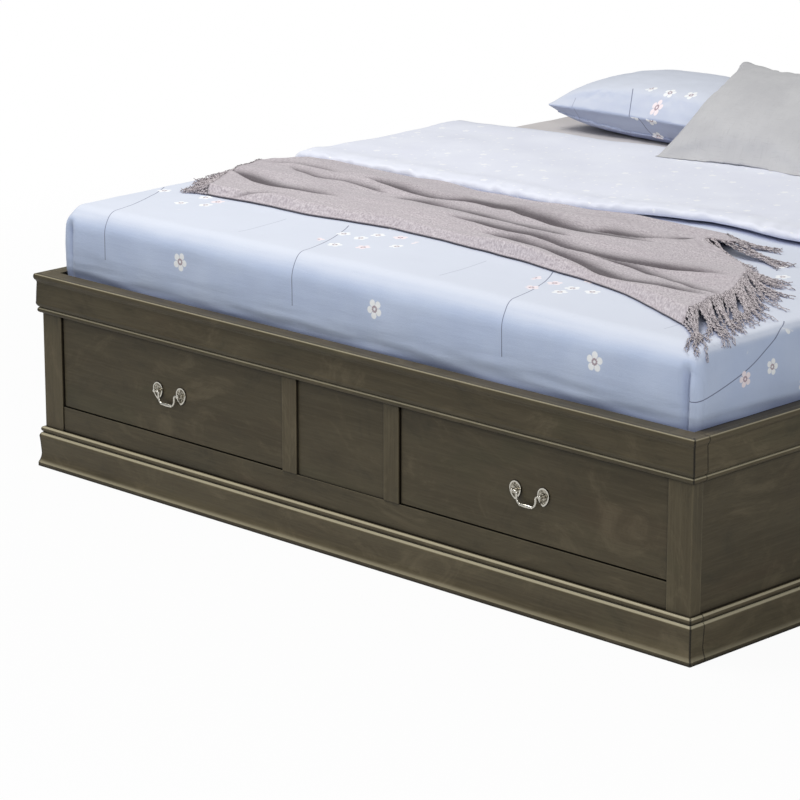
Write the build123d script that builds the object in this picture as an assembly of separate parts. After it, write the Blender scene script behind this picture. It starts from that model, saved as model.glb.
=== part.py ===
from build123d import *

import os
from math import cos, radians, sin

# Units are millimetres. X runs across the bed, +Y towards the head, +Z up.
# The origin is on the floor, under the middle of the bed frame.

# Mattress and the room left around it
mattress_width = 1930
mattress_length = 2030
mattress_thickness = 260
mattress_corner = 60
side_gap = 23
foot_gap = 28
head_gap = 5

# Heights of the frame
frame_height = 480
deck_height = 370
base_height = 100
cornice_height = 96
sill_height = 160

# Footboard boards
footboard_thickness = 32
post_width = 65
stile_width = 46
center_panel_width = 276
panel_thickness = 16
panel_recess = 6
rail_recess = 3
rail_clearance = 30
rail_end_gap = 0.5
edge_ease = 1.5

# Side and head boards
side_thickness = 25
side_recess = 2
side_clearance = 20
head_post_depth = 32
head_panel_thickness = 25
head_panel_clearance = 60
headboard_hole_radius = 4.5
headboard_hole_inset = 50
headboard_hole_low = 170
headboard_hole_pitch = 120

# Mouldings: how far they stand out from the posts
lip_reach = 15
lip_thickness = 14
frieze_reach = 9.3
frieze_swell = 1.9
cornice_bead_height = 13
cornice_bead_reach = 9.5
base_foot_reach = 15
base_foot_height = 9
base_waist_reach = 8.8
base_waist_height = 32
base_swell = 2.7
base_bead_height = 13
base_bead_reach = 8.8
quirk_depth = 3.5
quirk_height = 2.5
cove_height = 7
nose_round = 2
swell_fullness = 0.6
foot_flare = 0.3
joint_gap = 0.5

# Slats and what carries them
slat_count = 13
slat_width = 90
slat_thickness = 18
slat_end_gap = 4
slat_margin = 12
ledger_width = 30
ledger_height = 40
beam_width = 60
beam_height = 90
leg_width = 50
leg_count = 3
glide_height = 12
glide_radius = 20
glide_chamfer = 2

# Drawer housing and slides
housing_board = 16
housing_clearance = 18
housing_height = 112
housing_rail_thickness = 18
slide_space = 13
slide_length = 450
slide_height = 45
slide_gauge = 1.2
slide_play = 0.3
slide_height_center = 215
slide_setback = 2
slide_flange_cabinet = 9
slide_flange_middle = 11
slide_flange_drawer = 5

# Drawers
drawer_gap = 2
drawer_front_thickness = 20
box_depth = 450
box_headroom = 26
box_board = 12
box_lift = 16
box_bottom_thickness = 6
box_bottom_lift = 10
groove_depth = 6
tail_count = 4
tail_wide = 0.36
tail_narrow = 0.26

# Drawer pulls
pull_height = 268
pull_spacing = 80
rosette_width = 32
rosette_rise = 19
rosette_drop = 22
rosette_thickness = 3
rosette_rim = 3
rosette_dish = 1
rosette_point = 1.4
rosette_fullness = 1.06
rosette_flank = 0.56
pull_post_radius = 4.2
pull_post_collar_radius = 6
pull_post_collar = 2
bail_standoff = 9
bail_radius = 2.4
bail_fit = 0.1
bail_inset = 13
bail_drop = 27
bail_neck_bend = 6
bail_grip_bend = 14
bail_grip_length = 40
bail_grip_radius = 4.2
bail_tip = 3
pull_shank_radius = 2
pull_shank_fit = 0.1
pull_nut_radius = 4.5
pull_nut_thickness = 3.2
pull_shank_end = 1.5

# Corner brackets and bolts
bracket_gauge = 3
bracket_low = 60
bracket_height = 80
bracket_post_leg = 36
bracket_side_leg = 60
bolt_radius = 4
bolt_fit = 0.1
bolt_length = 20
bolt_head_radius = 7.5
bolt_head_height = 5.5
bolt_pitch = 40
bolt_post_setback = 20
bolt_side_setback = 34

# Bedding
soft_gap = 0.3
mattress_edge_round = 26
mattress_side_pull = 5
mattress_crown = 4
comforter_thickness = 16
comforter_side_room = 10
comforter_foot_room = 12
comforter_tuck = 40
comforter_corner = 20
comforter_shoulder = 46
comforter_side_round = 22
comforter_swell = 12
comforter_crown = 8
comforter_end = 1510
foldback_start = 870
foldback_thickness = 14
foldback_overhang = 40
foldback_round = 12
throw_sink = 14
throw_thickness = 7
throw_folds = (16, 24, 13, 21, 15, 23, 12)
throw_left = (-880, 350, 720)
throw_middle = (-20, 372, 800)
throw_right = (760, 217, 520)
pillow_width = 760
pillow_depth = 480
pillow_thickness = 140
pillow_middle = 473
pillow_setback = 1840
pillow_corner_pull = 22
pillow_shoulder = 105
pillow_seam = 8
pillow_slices = 5
settle_step = 0.05
accent_size = 480
accent_thickness = 120
accent_corner_pull = 20
accent_tilt = 22
accent_turn = 8
accent_x = -58
accent_setback = 1605

# Places worked out from the sizes above
inner_half = mattress_width / 2 + side_gap
half_width = inner_half + side_thickness + side_recess
side_face = half_width - side_recess
frame_length = footboard_thickness + foot_gap + mattress_length + head_gap + head_post_depth
front_reach = max(lip_reach, base_foot_reach)
foot_y = front_reach - (frame_length + front_reach) / 2
foot_back = foot_y + footboard_thickness
head_back = foot_y + frame_length
head_front = head_back - head_post_depth
cornice_bottom = frame_height - cornice_height
mattress_top = deck_height + mattress_thickness
slat_bottom = deck_height - slat_thickness
beam_bottom = slat_bottom - beam_height
panel_face = foot_y + panel_recess
stile_inside = center_panel_width / 2
opening_inside = stile_inside + stile_width
opening_outside = half_width - post_width
drawer_back_face = panel_face + drawer_front_thickness
slide_start = foot_back + slide_setback
slide_end = slide_start + slide_length
box_end = drawer_back_face + box_depth
housing_end = max(slide_end, box_end) + housing_clearance
box_low = sill_height + box_lift
box_height = slat_bottom - box_headroom - box_low
headboard_hole_reach = opening_outside - headboard_hole_inset

SIDES = (("left", -1), ("right", 1))


def board(x, y, z):
    """A square-edged board between two limits along each of X, Y and Z."""
    middle = [(low + high) / 2 for low, high in (x, y, z)]
    size = [high - low for low, high in (x, y, z)]
    return Pos(*middle) * Box(*size)


def sided(sign, inner, outer):
    """Limits along X of a board on the left (-1) or right (1) half of the bed."""
    return tuple(sorted((sign * inner, sign * outer)))


def eased(edges):
    """The board that has these edges, with them slightly rounded."""
    return fillet(edges, edge_ease)


def front_edges(piece, along):
    """Edges parallel to one axis that lie on the foot face of a board."""
    return piece.edges().filter_by(along).group_by(Axis.Y)[0]


def group(pieces):
    """Several separate solids that share one node."""
    return Compound(children=list(pieces))


# Moulding profiles: first value is the reach from the post's face, second the height


def cornice_profile(back):
    """Lip, cove, swelling frieze, quirk and bead, from the top down."""
    top = frame_height
    lip_low = top - lip_thickness
    cove_low = lip_low - cove_height
    bead_top = cornice_bottom + cornice_bead_height
    frieze_low = bead_top + quirk_height
    swell_reach = frieze_reach + frieze_swell
    swell_height = frieze_low + cornice_bead_height
    quirk_reach = cornice_bead_reach - quirk_depth
    nose_start = (lip_reach - nose_round, top)
    nose = (lip_reach, top - lip_thickness / 2)
    cove_out = (lip_reach - nose_round, lip_low)
    cove_in = (frieze_reach, cove_low)
    cove_mid = (frieze_reach + nose_round / 2, (lip_low + cove_low) / 2)
    frieze_mid = (frieze_reach + frieze_swell * swell_fullness, (cove_low + swell_height) / 2)
    swell = (swell_reach, swell_height)
    shoulder = (quirk_reach + quirk_depth / 2, frieze_low)
    shoulder_mid = (swell_reach - frieze_swell / 4, (swell_height + frieze_low * 2) / 3)
    bead_mid = (cornice_bead_reach, (bead_top + cornice_bottom) / 2)
    bead_low = (quirk_reach - quirk_depth, cornice_bottom)
    outline = [
        Line((-back, top), nose_start),
        ThreePointArc(nose_start, nose, cove_out),
        ThreePointArc(cove_out, cove_mid, cove_in),
        ThreePointArc(cove_in, frieze_mid, swell),
        ThreePointArc(swell, shoulder_mid, shoulder),
        Line(shoulder, (quirk_reach, frieze_low)),
        Line((quirk_reach, frieze_low), (quirk_reach, bead_top)),
        ThreePointArc((quirk_reach, bead_top), bead_mid, bead_low),
        Line(bead_low, (-back, cornice_bottom)),
        Line((-back, cornice_bottom), (-back, top)),
    ]
    return make_face(outline)


def base_profile(back):
    """Bead, quirk, swelling shoulder, waist and spreading foot, from the top down."""
    bead_low = base_height - base_bead_height
    shoulder_top = bead_low - quirk_height
    quirk_reach = base_bead_reach - quirk_depth
    swell_reach = base_waist_reach + base_swell
    swell_height = shoulder_top - base_bead_height
    shoulder = (quirk_reach + quirk_depth / 2, shoulder_top)
    shoulder_mid = (swell_reach - base_swell / 4, (swell_height + shoulder_top * 2) / 3)
    waist = (base_waist_reach, base_waist_height)
    swell = (swell_reach, swell_height)
    belly_reach = base_waist_reach + base_swell * (1 - swell_fullness)
    belly_mid = (belly_reach, (swell_height + base_waist_height) / 2)
    flare = (base_foot_reach - base_waist_reach) * foot_flare
    foot_mid = (base_waist_reach + flare, (base_waist_height + base_foot_height) / 2)
    bead_top = (quirk_reach - quirk_depth, base_height)
    bead_mid = (base_bead_reach, bead_low + base_bead_height / 2)
    outline = [
        Line((-back, base_height), bead_top),
        ThreePointArc(bead_top, bead_mid, (quirk_reach, bead_low)),
        Line((quirk_reach, bead_low), (quirk_reach, shoulder_top)),
        Line((quirk_reach, shoulder_top), shoulder),
        ThreePointArc(shoulder, shoulder_mid, swell),
        ThreePointArc(swell, belly_mid, waist),
        ThreePointArc(waist, foot_mid, (base_foot_reach, base_foot_height)),
        Line((base_foot_reach, base_foot_height), (base_foot_reach, 0)),
        Line((base_foot_reach, 0), (-back, 0)),
        Line((-back, 0), (-back, base_height)),
    ]
    return make_face(outline)


def moulding(profile, outward, start, length):
    """A profile run out along the bed; it runs to the left of someone who faces the moulding's back."""
    outward = Vector(*outward)
    run = outward.cross(Vector(0, 0, 1))
    plane = Plane(origin=start, x_dir=outward, z_dir=run)
    return extrude(plane * profile, length)


def mitre_region(points):
    """A tall prism over a plan outline, used to cut mouldings to their mitres."""
    return extrude(make_face(Polyline(*points, close=True)), frame_height)


def foot_moulding(profile):
    """The strip across the foot face, mitred at both posts."""
    out = 2 * front_reach
    strip = moulding(profile(0), (0, -1, 0), (half_width + out, foot_y, 0), 2 * (half_width + out))
    corner = half_width - joint_gap / 2
    plan = mitre_region([
        (-corner, foot_y),
        (corner, foot_y),
        (corner + out, foot_y - out),
        (-corner - out, foot_y - out),
    ])
    return strip & plan


def moulding_return(profile, sign):
    """The short strip on the outer face of a footboard post, mitred to the foot strip."""
    out = 2 * front_reach
    strip = moulding(profile(0), (1, 0, 0), (half_width, foot_back, 0), footboard_thickness + out)
    edge = foot_y + joint_gap / 2
    plan = mitre_region([
        (half_width, edge),
        (half_width + out, edge - out),
        (half_width + out, foot_back),
        (half_width, foot_back),
    ])
    piece = strip & plan
    return piece if sign > 0 else mirror(piece, Plane.YZ)


def side_moulding(profile, sign):
    """The long strip along a side panel, from the footboard to the head end."""
    start = foot_back + joint_gap
    strip = moulding(profile(side_recess), (1, 0, 0), (half_width, head_back, 0), head_back - start)
    post_side = board((side_face, half_width), (head_front, head_back), (0, frame_height))
    piece = strip - post_side
    return piece if sign > 0 else mirror(piece, Plane.YZ)


# Footboard


def footboard_post(sign):
    post = board(
        sided(sign, opening_outside, half_width), (foot_y, foot_back), (0, frame_height)
    )
    for place in bolt_places("foot", sign, "post"):
        post -= bolt_bore(place, (0, -1, 0))
    return eased(front_edges(post, Axis.Z))


def footboard_top_rail():
    return board(
        (-opening_outside, opening_outside), (foot_y, foot_back), (cornice_bottom, frame_height)
    )


def footboard_bottom_rail():
    """A rail whose visible upper part is set back a little behind the posts."""
    reach = opening_outside - rail_end_gap
    rail = board((-reach, reach), (foot_y, foot_back), (rail_clearance, sill_height))
    rebate_low = base_height - base_bead_height / 4
    return rail - board(
        (-reach, reach), (foot_y, foot_y + rail_recess), (rebate_low, sill_height)
    )


def mid_stile(sign):
    stile = board(
        sided(sign, stile_inside, opening_inside),
        (foot_y, foot_back),
        (sill_height, cornice_bottom),
    )
    return eased(front_edges(stile, Axis.Z))


def center_panel():
    return board(
        (-stile_inside, stile_inside),
        (panel_face, panel_face + panel_thickness),
        (sill_height, cornice_bottom),
    )


# Sides and head


def side_panel(sign):
    panel = board(
        sided(sign, inner_half, side_face),
        (foot_back, head_front),
        (side_clearance, frame_height),
    )
    for end in ("foot", "head"):
        for place in bolt_places(end, sign, "side"):
            panel -= bolt_bore(place, (sign, 0, 0))
    return panel


def head_post(sign):
    post = board(
        sided(sign, opening_outside, half_width), (head_front, head_back), (0, frame_height)
    )
    for place in bolt_places("head", sign, "post"):
        post -= bolt_bore(place, (0, 1, 0))
    return post


def head_panel():
    """The board across the head end, drilled for the bolts of a headboard."""
    panel = board(
        (-opening_outside, opening_outside),
        (head_back - head_panel_thickness, head_back),
        (head_panel_clearance, frame_height),
    )
    for side in (-1, 1):
        for row in (0, 1):
            place = Plane(
                origin=(
                    side * headboard_hole_reach,
                    head_back - head_panel_thickness,
                    headboard_hole_low + row * headboard_hole_pitch,
                ),
                z_dir=(0, 1, 0),
            )
            panel -= extrude(place * Circle(headboard_hole_radius), head_panel_thickness)
    return panel


# Corner brackets and their bolts


def bolt_places(end, sign, leg):
    """Where the two bolts of a bracket leg enter the wood."""
    middle = bracket_low + bracket_height / 2
    inwards = 1 if end == "foot" else -1
    face = foot_back if end == "foot" else head_front
    places = []
    for step in (-0.5, 0.5):
        z = middle + step * bolt_pitch
        if leg == "post":
            places.append((sign * (inner_half - bolt_post_setback), face, z))
        else:
            places.append((sign * inner_half, face + inwards * bolt_side_setback, z))
    return places


def bolt_bore(place, into):
    """The hole that a bolt's shank fills in the wood."""
    plane = Plane(origin=place, z_dir=into)
    return extrude(plane * Circle(bolt_radius + bolt_fit), bolt_length - bracket_gauge + bolt_fit)


def bolt(place, into):
    """A hexagon-head bolt whose head bears on the bracket."""
    way = Vector(*into)
    seat = Vector(*place) - way * bracket_gauge
    plane = Plane(origin=seat, z_dir=into)
    shank = extrude(plane * Circle(bolt_radius), bolt_length)
    head = extrude(plane * RegularPolygon(bolt_head_radius, 6), -bolt_head_height)
    return shank + head


def bolt_sets():
    """Each bracket's bolts, with the way that they point."""
    for end, post_way in (("foot", -1), ("head", 1)):
        for _, sign in SIDES:
            for place in bolt_places(end, sign, "post"):
                yield place, (0, post_way, 0)
            for place in bolt_places(end, sign, "side"):
                yield place, (sign, 0, 0)


def corner_bracket(end, sign):
    """A steel angle in an inside corner, one leg on the post and one on the side panel."""
    face = foot_back if end == "foot" else head_front
    inwards = 1 if end == "foot" else -1
    z = (bracket_low, bracket_low + bracket_height)
    post_leg = board(
        sided(sign, inner_half - bracket_post_leg, inner_half),
        tuple(sorted((face, face + inwards * bracket_gauge))),
        z,
    )
    side_leg = board(
        sided(sign, inner_half - bracket_gauge, inner_half),
        tuple(sorted((face, face + inwards * bracket_side_leg))),
        z,
    )
    bracket = post_leg + side_leg
    for leg, way in (("post", (0, -inwards, 0)), ("side", (sign, 0, 0))):
        for place in bolt_places(end, sign, leg):
            start = Vector(*place) - Vector(*way) * bracket_gauge
            hole = Plane(origin=start, z_dir=way) * Circle(bolt_radius + bolt_fit)
            bracket -= extrude(hole, bracket_gauge)
    return bracket


# Slats and what carries them


def slat_ledger(sign):
    return board(
        sided(sign, inner_half - ledger_width, inner_half),
        (foot_back, head_front),
        (slat_bottom - ledger_height, slat_bottom),
    )


def slats():
    reach = inner_half - slat_end_gap
    first = foot_back + slat_margin
    last = head_front - slat_margin - slat_width
    step = (last - first) / (slat_count - 1)
    for index in range(slat_count):
        start = first + index * step
        yield board((-reach, reach), (start, start + slat_width), (slat_bottom, deck_height))


def center_beam():
    return board(
        (-beam_width / 2, beam_width / 2),
        (panel_face + panel_thickness, head_back - head_panel_thickness),
        (beam_bottom, slat_bottom),
    )


def leg_middles():
    """The first leg backs the housing rail, and the rest divide the way to the head."""
    first = housing_end + housing_rail_thickness + leg_width / 2
    step = (head_front - first) / leg_count
    return [first + index * step for index in range(leg_count)]


def center_leg(middle):
    half = leg_width / 2
    return board((-half, half), (middle - half, middle + half), (glide_height, beam_bottom))


def leg_glide(middle):
    glide = Pos(0, middle, glide_height / 2) * Cylinder(glide_radius, glide_height)
    return chamfer(glide.edges().group_by(Axis.Z)[0], glide_chamfer)


# Drawer housing


def housing_side(sign, where):
    """One upright board beside a drawer; inner ones back the stiles, outer ones the posts."""
    if where == "inner":
        limits = sided(sign, opening_inside - housing_board, opening_inside)
    else:
        limits = sided(sign, opening_outside, opening_outside + housing_board)
    return board(limits, (foot_back, housing_end), (beam_bottom - housing_height, beam_bottom))


def housing_back_rail():
    return board(
        (-inner_half, inner_half),
        (housing_end, housing_end + housing_rail_thickness),
        (beam_bottom - housing_height, beam_bottom),
    )


# Drawer slides: three nested channels, each run out along Y


def channel(near, web, flange_end, half_height):
    """A C-shaped channel; its web lies between near and web, its flanges reach flange_end."""
    z = (slide_height_center - half_height, slide_height_center + half_height)
    y = (slide_start, slide_end)
    whole = board(tuple(sorted((near, flange_end))), y, z)
    hollow = board(
        tuple(sorted((web, flange_end))), y, (z[0] + slide_gauge, z[1] - slide_gauge)
    )
    return whole - hollow


def slide_members(wall, way):
    """Cabinet, middle and drawer member of one slide on a housing board's face."""
    half = slide_height / 2
    step = slide_gauge + slide_play
    cabinet = channel(
        wall, wall + way * slide_gauge, wall + way * slide_flange_cabinet, half
    )
    middle = channel(
        wall + way * step,
        wall + way * (step + slide_gauge),
        wall + way * slide_flange_middle,
        half - step,
    )
    drawer = channel(
        wall + way * slide_space,
        wall + way * (slide_space - slide_gauge),
        wall + way * slide_flange_drawer,
        half - 2 * step,
    )
    return cabinet, middle, drawer


def drawer_slides(sign):
    """Both slides of one drawer, sorted by member."""
    inner = slide_members(sign * opening_inside, sign)
    outer = slide_members(sign * opening_outside, -sign)
    return [group(pair) for pair in zip(inner, outer)]


# Drawer boxes


def box_limits():
    """Limits of a drawer box along X (right-hand drawer), Y and Z."""
    x = (opening_inside + slide_space, opening_outside - slide_space)
    y = (drawer_back_face, box_end)
    return x, y, (box_low, box_low + box_height)


def dovetails(x, shoulder, end):
    """The tails at one end of a box side, between its shoulder line and its end."""
    pitch = box_height / tail_count
    tails = []
    for index in range(tail_count):
        z = box_low + (index + 0.5) * pitch
        wide = tail_wide * pitch
        narrow = tail_narrow * pitch
        outline = Polyline(
            (shoulder, z - narrow),
            (end, z - wide),
            (end, z + wide),
            (shoulder, z + narrow),
            close=True,
        )
        plane = Plane(origin=(x[0], 0, 0), x_dir=(0, 1, 0), z_dir=(1, 0, 0))
        tails.append(extrude(plane * make_face(outline), x[1] - x[0]))
    return tails


def box_side_tails():
    """Limits along X of both box sides, each with the tails at its two ends."""
    x, y, _ = box_limits()
    front = y[0] + box_board
    back = y[1] - box_board
    sides = ((x[0], x[0] + box_board), (x[1] - box_board, x[1]))
    return [(side, dovetails(side, front, y[0]) + dovetails(side, back, y[1])) for side in sides]


def box_bottom():
    x, y, z = box_limits()
    inset = box_board - groove_depth
    low = z[0] + box_bottom_lift
    return board(
        (x[0] + inset, x[1] - inset),
        (y[0] + inset, y[1] - inset),
        (low, low + box_bottom_thickness),
    )


def box_sides():
    _, y, z = box_limits()
    pieces = []
    for limits, tails in box_side_tails():
        side = board(limits, (y[0] + box_board, y[1] - box_board), z)
        for tail in tails:
            side += tail
        pieces.append(side - box_bottom())
    return pieces


def box_ends():
    x, y, z = box_limits()
    ends = ((y[0], y[0] + box_board), (y[1] - box_board, y[1]))
    pieces = []
    for index, limits in enumerate(ends):
        end = board(x, limits, z)
        for _, tails in box_side_tails():
            for tail in tails:
                end -= tail
        end -= box_bottom()
        if index == 0:
            end -= pull_shank_holes()
        pieces.append(end)
    return pieces


def drawer_front():
    front = board(
        (opening_inside + drawer_gap, opening_outside - drawer_gap),
        (panel_face, drawer_back_face),
        (sill_height + drawer_gap, cornice_bottom - drawer_gap),
    )
    face_edges = front_edges(front, Axis.X) + front_edges(front, Axis.Z)
    return eased(face_edges) - pull_shank_holes()


# Drawer pulls, made for the right-hand drawer

pull_middle = (opening_inside + opening_outside) / 2
rosette_face = panel_face - rosette_thickness
dish_face = rosette_face + rosette_dish
bail_y = rosette_face - bail_standoff


def pull_places():
    return [pull_middle - pull_spacing / 2, pull_middle + pull_spacing / 2]


def facing_foot(x, y):
    """A drawing plane that faces out of the drawer front, level with the pull."""
    return Plane(origin=(x, y, pull_height), x_dir=(1, 0, 0), z_dir=(0, -1, 0))


def rod(x, start, end, radius):
    """A round bar along Y at one of the pull's posts."""
    return extrude(facing_foot(x, start) * Circle(radius), start - end)


def pull_shank_holes():
    """Clearance holes for both shanks, through the drawer front and the box front."""
    radius = pull_shank_radius + pull_shank_fit
    inside = drawer_back_face + box_board
    holes = [rod(x, inside, panel_face, radius) for x in pull_places()]
    return holes[0] + holes[1]


def rosette_outline(inset):
    """Round at the top, drawn to a blunt point at the bottom."""
    half = rosette_width / 2 - inset
    rise = rosette_rise - inset
    drop = rosette_drop - inset * rosette_point
    diagonal = cos(radians(45))
    edges = []
    for side in (1, -1):
        shoulder = (side * half * diagonal * rosette_fullness, rise * diagonal)
        flank = (side * half * diagonal, -drop * rosette_flank)
        edges.append(ThreePointArc((0, rise), shoulder, (side * half, 0)))
        edges.append(ThreePointArc((side * half, 0), flank, (0, -drop)))
    return make_face(edges)


def pull_rosette(x):
    plate = extrude(facing_foot(x, panel_face) * rosette_outline(0), rosette_thickness)
    dish = extrude(facing_foot(x, dish_face) * rosette_outline(rosette_rim), rosette_dish)
    hole = rod(x, panel_face, rosette_face, pull_shank_radius + pull_shank_fit)
    return plate - dish - hole


def pull_post(x):
    """A collared post with a domed end, a cross hole for the bail and a long shank."""
    inside = drawer_back_face + box_board
    shank_end = inside + pull_nut_thickness + pull_shank_end
    post_end = bail_y - bail_radius - bail_tip / 2
    shank = rod(x, shank_end, dish_face, pull_shank_radius)
    collar = rod(x, dish_face, dish_face - pull_post_collar, pull_post_collar_radius)
    stem = rod(x, dish_face, post_end, pull_post_radius)
    stem = fillet(stem.edges().group_by(Axis.Y)[0], bail_tip / 2)
    hole_plane = Plane(origin=(x - pull_post_radius, bail_y, pull_height), z_dir=(1, 0, 0))
    hole = extrude(hole_plane * Circle(bail_radius + bail_fit), 2 * pull_post_radius)
    return shank + collar + stem - hole


def pull_nut(x):
    inside = drawer_back_face + box_board
    plane = facing_foot(x, inside)
    nut = extrude(plane * RegularPolygon(pull_nut_radius, 6), -pull_nut_thickness)
    return nut - rod(
        x, inside + pull_nut_thickness, inside, pull_shank_radius + pull_shank_fit
    )


def pull_bail():
    """A swan-neck bail: its ends turn out into the posts, and its grip swells in the middle."""
    end = pull_spacing / 2 + bail_tip
    arm = pull_spacing / 2 - bail_inset
    corners = [(-end, 0), (-arm, 0), (-arm, -bail_drop), (arm, -bail_drop), (arm, 0), (end, 0)]
    bends = [bail_neck_bend, bail_grip_bend, bail_grip_bend, bail_neck_bend]
    plane = facing_foot(pull_middle, bail_y)
    path = plane * FilletPolyline(*corners, radius=bends)
    start = Plane(origin=path @ 0, z_dir=path % 0)
    wire = sweep(start * Circle(bail_radius), path=path)
    half = bail_grip_length / 2
    grip_outline = [
        Line((-half, 0), (half, 0)),
        Line((half, 0), (half, bail_radius)),
        ThreePointArc((half, bail_radius), (0, bail_grip_radius), (-half, bail_radius)),
        Line((-half, bail_radius), (-half, 0)),
    ]
    grip = revolve(make_face(grip_outline), Axis.X)
    return wire + plane * Pos(0, -bail_drop, 0) * grip


# Bedding


def bowed(start, middle, end, bulge):
    """An edge bowed through its middle point, or straight where there is no bulge."""
    return ThreePointArc(start, middle, end) if bulge else Line(start, end)


def block_outline(low, high, bottom, top, swell, shoulder, crown):
    """An upright section of a padded block: swelling or drawn-in sides, round shoulders, crown."""
    lean = shoulder * (1 - cos(radians(45)))
    flank = (bottom + top - shoulder) / 2
    spring = top - shoulder
    middle = ((low + high) / 2, top + crown)
    edges = [
        Line((low, bottom), (high, bottom)),
        bowed((high, bottom), (high + swell, flank), (high, spring), swell),
        ThreePointArc((high, spring), (high - lean, top - lean), (high - shoulder, top)),
        bowed((high - shoulder, top), middle, (low + shoulder, top), crown),
        ThreePointArc((low + shoulder, top), (low + lean, top - lean), (low, spring)),
        bowed((low, spring), (low - swell, flank), (low, bottom), swell),
    ]
    return make_face(edges)


def along_y(outline, start, end):
    """An X-Z outline run along the bed from one Y to another."""
    plane = Plane(origin=(0, start, 0), x_dir=(1, 0, 0), z_dir=(0, -1, 0))
    return extrude(plane * outline, start - end)


def along_x(outline, half):
    """A Y-Z outline run across the whole bed."""
    plane = Plane(origin=(-half, 0, 0), x_dir=(0, 1, 0), z_dir=(1, 0, 0))
    return extrude(plane * outline, 2 * half)


def rounded_plan(half, start, end, corner, low, high):
    """An upright block with rounded plan corners."""
    middle = (start + end) / 2
    plan = Pos(0, middle, low) * RectangleRounded(2 * half, end - start, corner)
    return extrude(plan, high - low)


mattress_start = foot_back + foot_gap
mattress_end = mattress_start + mattress_length
mattress_half = mattress_width / 2


def mattress():
    """A thick mattress with drawn-in borders and a slight crown."""
    across = block_outline(
        -mattress_half, mattress_half, deck_height, mattress_top - mattress_crown - soft_gap,
        -mattress_side_pull, mattress_edge_round, mattress_crown,
    )
    along = block_outline(
        mattress_start, mattress_end, deck_height, mattress_top,
        -mattress_side_pull, mattress_edge_round, 0,
    )
    pull = mattress_side_pull
    plan = rounded_plan(
        mattress_half + pull, mattress_start - pull, mattress_end + pull,
        mattress_corner + pull, deck_height - pull, mattress_top + pull,
    )
    block = along_y(across, mattress_start - pull, mattress_end + pull)
    return block & along_x(along, half_width) & plan


comforter_half = inner_half - comforter_side_room
comforter_start = foot_back + comforter_foot_room
comforter_bottom = frame_height - comforter_tuck
comforter_top = mattress_top + comforter_thickness
comforter_y_end = foot_y + comforter_end


def comforter_body(grow, start, end, bottom):
    """The comforter's outer form, grown by a layer, between two places along the bed."""
    across = block_outline(
        -comforter_half - grow, comforter_half + grow, bottom, comforter_top + grow,
        comforter_swell, comforter_side_round + grow, comforter_crown,
    )
    return along_y(across, start, end)


def comforter():
    """The cover over top, sides and foot of the mattress, tucked inside the rim."""
    end = comforter_y_end
    outer = comforter_body(0, comforter_start - comforter_swell, end, comforter_bottom)
    beyond = end + 2 * comforter_shoulder
    above = comforter_top + comforter_crown + soft_gap
    along = block_outline(
        comforter_start, beyond, comforter_bottom, above,
        comforter_swell / 2, comforter_shoulder, 0,
    )
    plan = rounded_plan(
        comforter_half + comforter_swell, comforter_start - comforter_swell, beyond,
        comforter_side_round, comforter_bottom, above + soft_gap,
    )
    hollow = rounded_plan(
        mattress_half + soft_gap, mattress_start - soft_gap, mattress_end, comforter_corner,
        deck_height, mattress_top + soft_gap,
    )
    return (outer & along_x(along, half_width) & plan) - hollow


def comforter_foldback():
    """The head end of the comforter, turned back over itself and down both sides."""
    start = foot_y + foldback_start
    end = comforter_y_end
    low = frame_height + foldback_overhang
    outer = comforter_body(foldback_thickness, start, end, low)
    along = block_outline(
        start, end, low, comforter_top + comforter_crown + foldback_thickness + soft_gap,
        0, foldback_round, 0,
    )
    core = comforter_body(soft_gap, start, end, comforter_bottom)
    return (outer & along_x(along, half_width)) - core


def throw_section(place):
    """One end or the middle of the throw: a flat underside and a row of soft folds on top."""
    x, near, far = place
    seat = comforter_top + comforter_crown * (1 - (x / comforter_half) ** 2)
    low = seat - throw_sink
    base = seat + throw_thickness
    step = (far - near) / len(throw_folds)
    edges = []
    for index, rise in enumerate(throw_folds):
        first = near + index * step
        edges.append(
            ThreePointArc((first, base), (first + step / 2, base + rise), (first + step, base))
        )
    edges.append(Line((far, base), (far, low)))
    edges.append(Line((far, low), (near, low)))
    edges.append(Line((near, low), (near, base)))
    plane = Plane(origin=(x, foot_y, 0), x_dir=(0, 1, 0), z_dir=(1, 0, 0))
    return plane * make_face(edges)


def throw_blanket():
    """A throw lying across the bed in long folds, seated on the comforter."""
    body = loft([throw_section(place) for place in (throw_left, throw_middle, throw_right)])
    core = comforter_body(soft_gap, comforter_start, comforter_y_end, comforter_bottom)
    return body - core


def upright_plane(x):
    return Plane(origin=(x, 0, 0), x_dir=(0, 1, 0), z_dir=(1, 0, 0))


def cushion_slice(x, half_depth, half_height):
    """An upright slice of a cushion: two shallow arcs that meet at the seam."""
    upper = ThreePointArc((-half_depth, 0), (0, half_height), (half_depth, 0))
    lower = ThreePointArc((half_depth, 0), (0, -half_height), (-half_depth, 0))
    return upright_plane(x) * make_face([upper, lower])


def pillow_slice(x, half_depth, half_height):
    """An upright slice of a pillow: a crowned top over an underside that lies flat."""
    inner = half_depth - pillow_shoulder
    outline = [
        EllipticalCenterArc((0, 0), half_depth, half_height, 0, arc_size=180),
        EllipticalCenterArc((-inner, 0), pillow_shoulder, half_height, 180, arc_size=90),
        Line((-inner, -half_height), (inner, -half_height)),
        EllipticalCenterArc((inner, 0), pillow_shoulder, half_height, 270, arc_size=90),
    ]
    return upright_plane(x) * make_face(outline)


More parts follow.
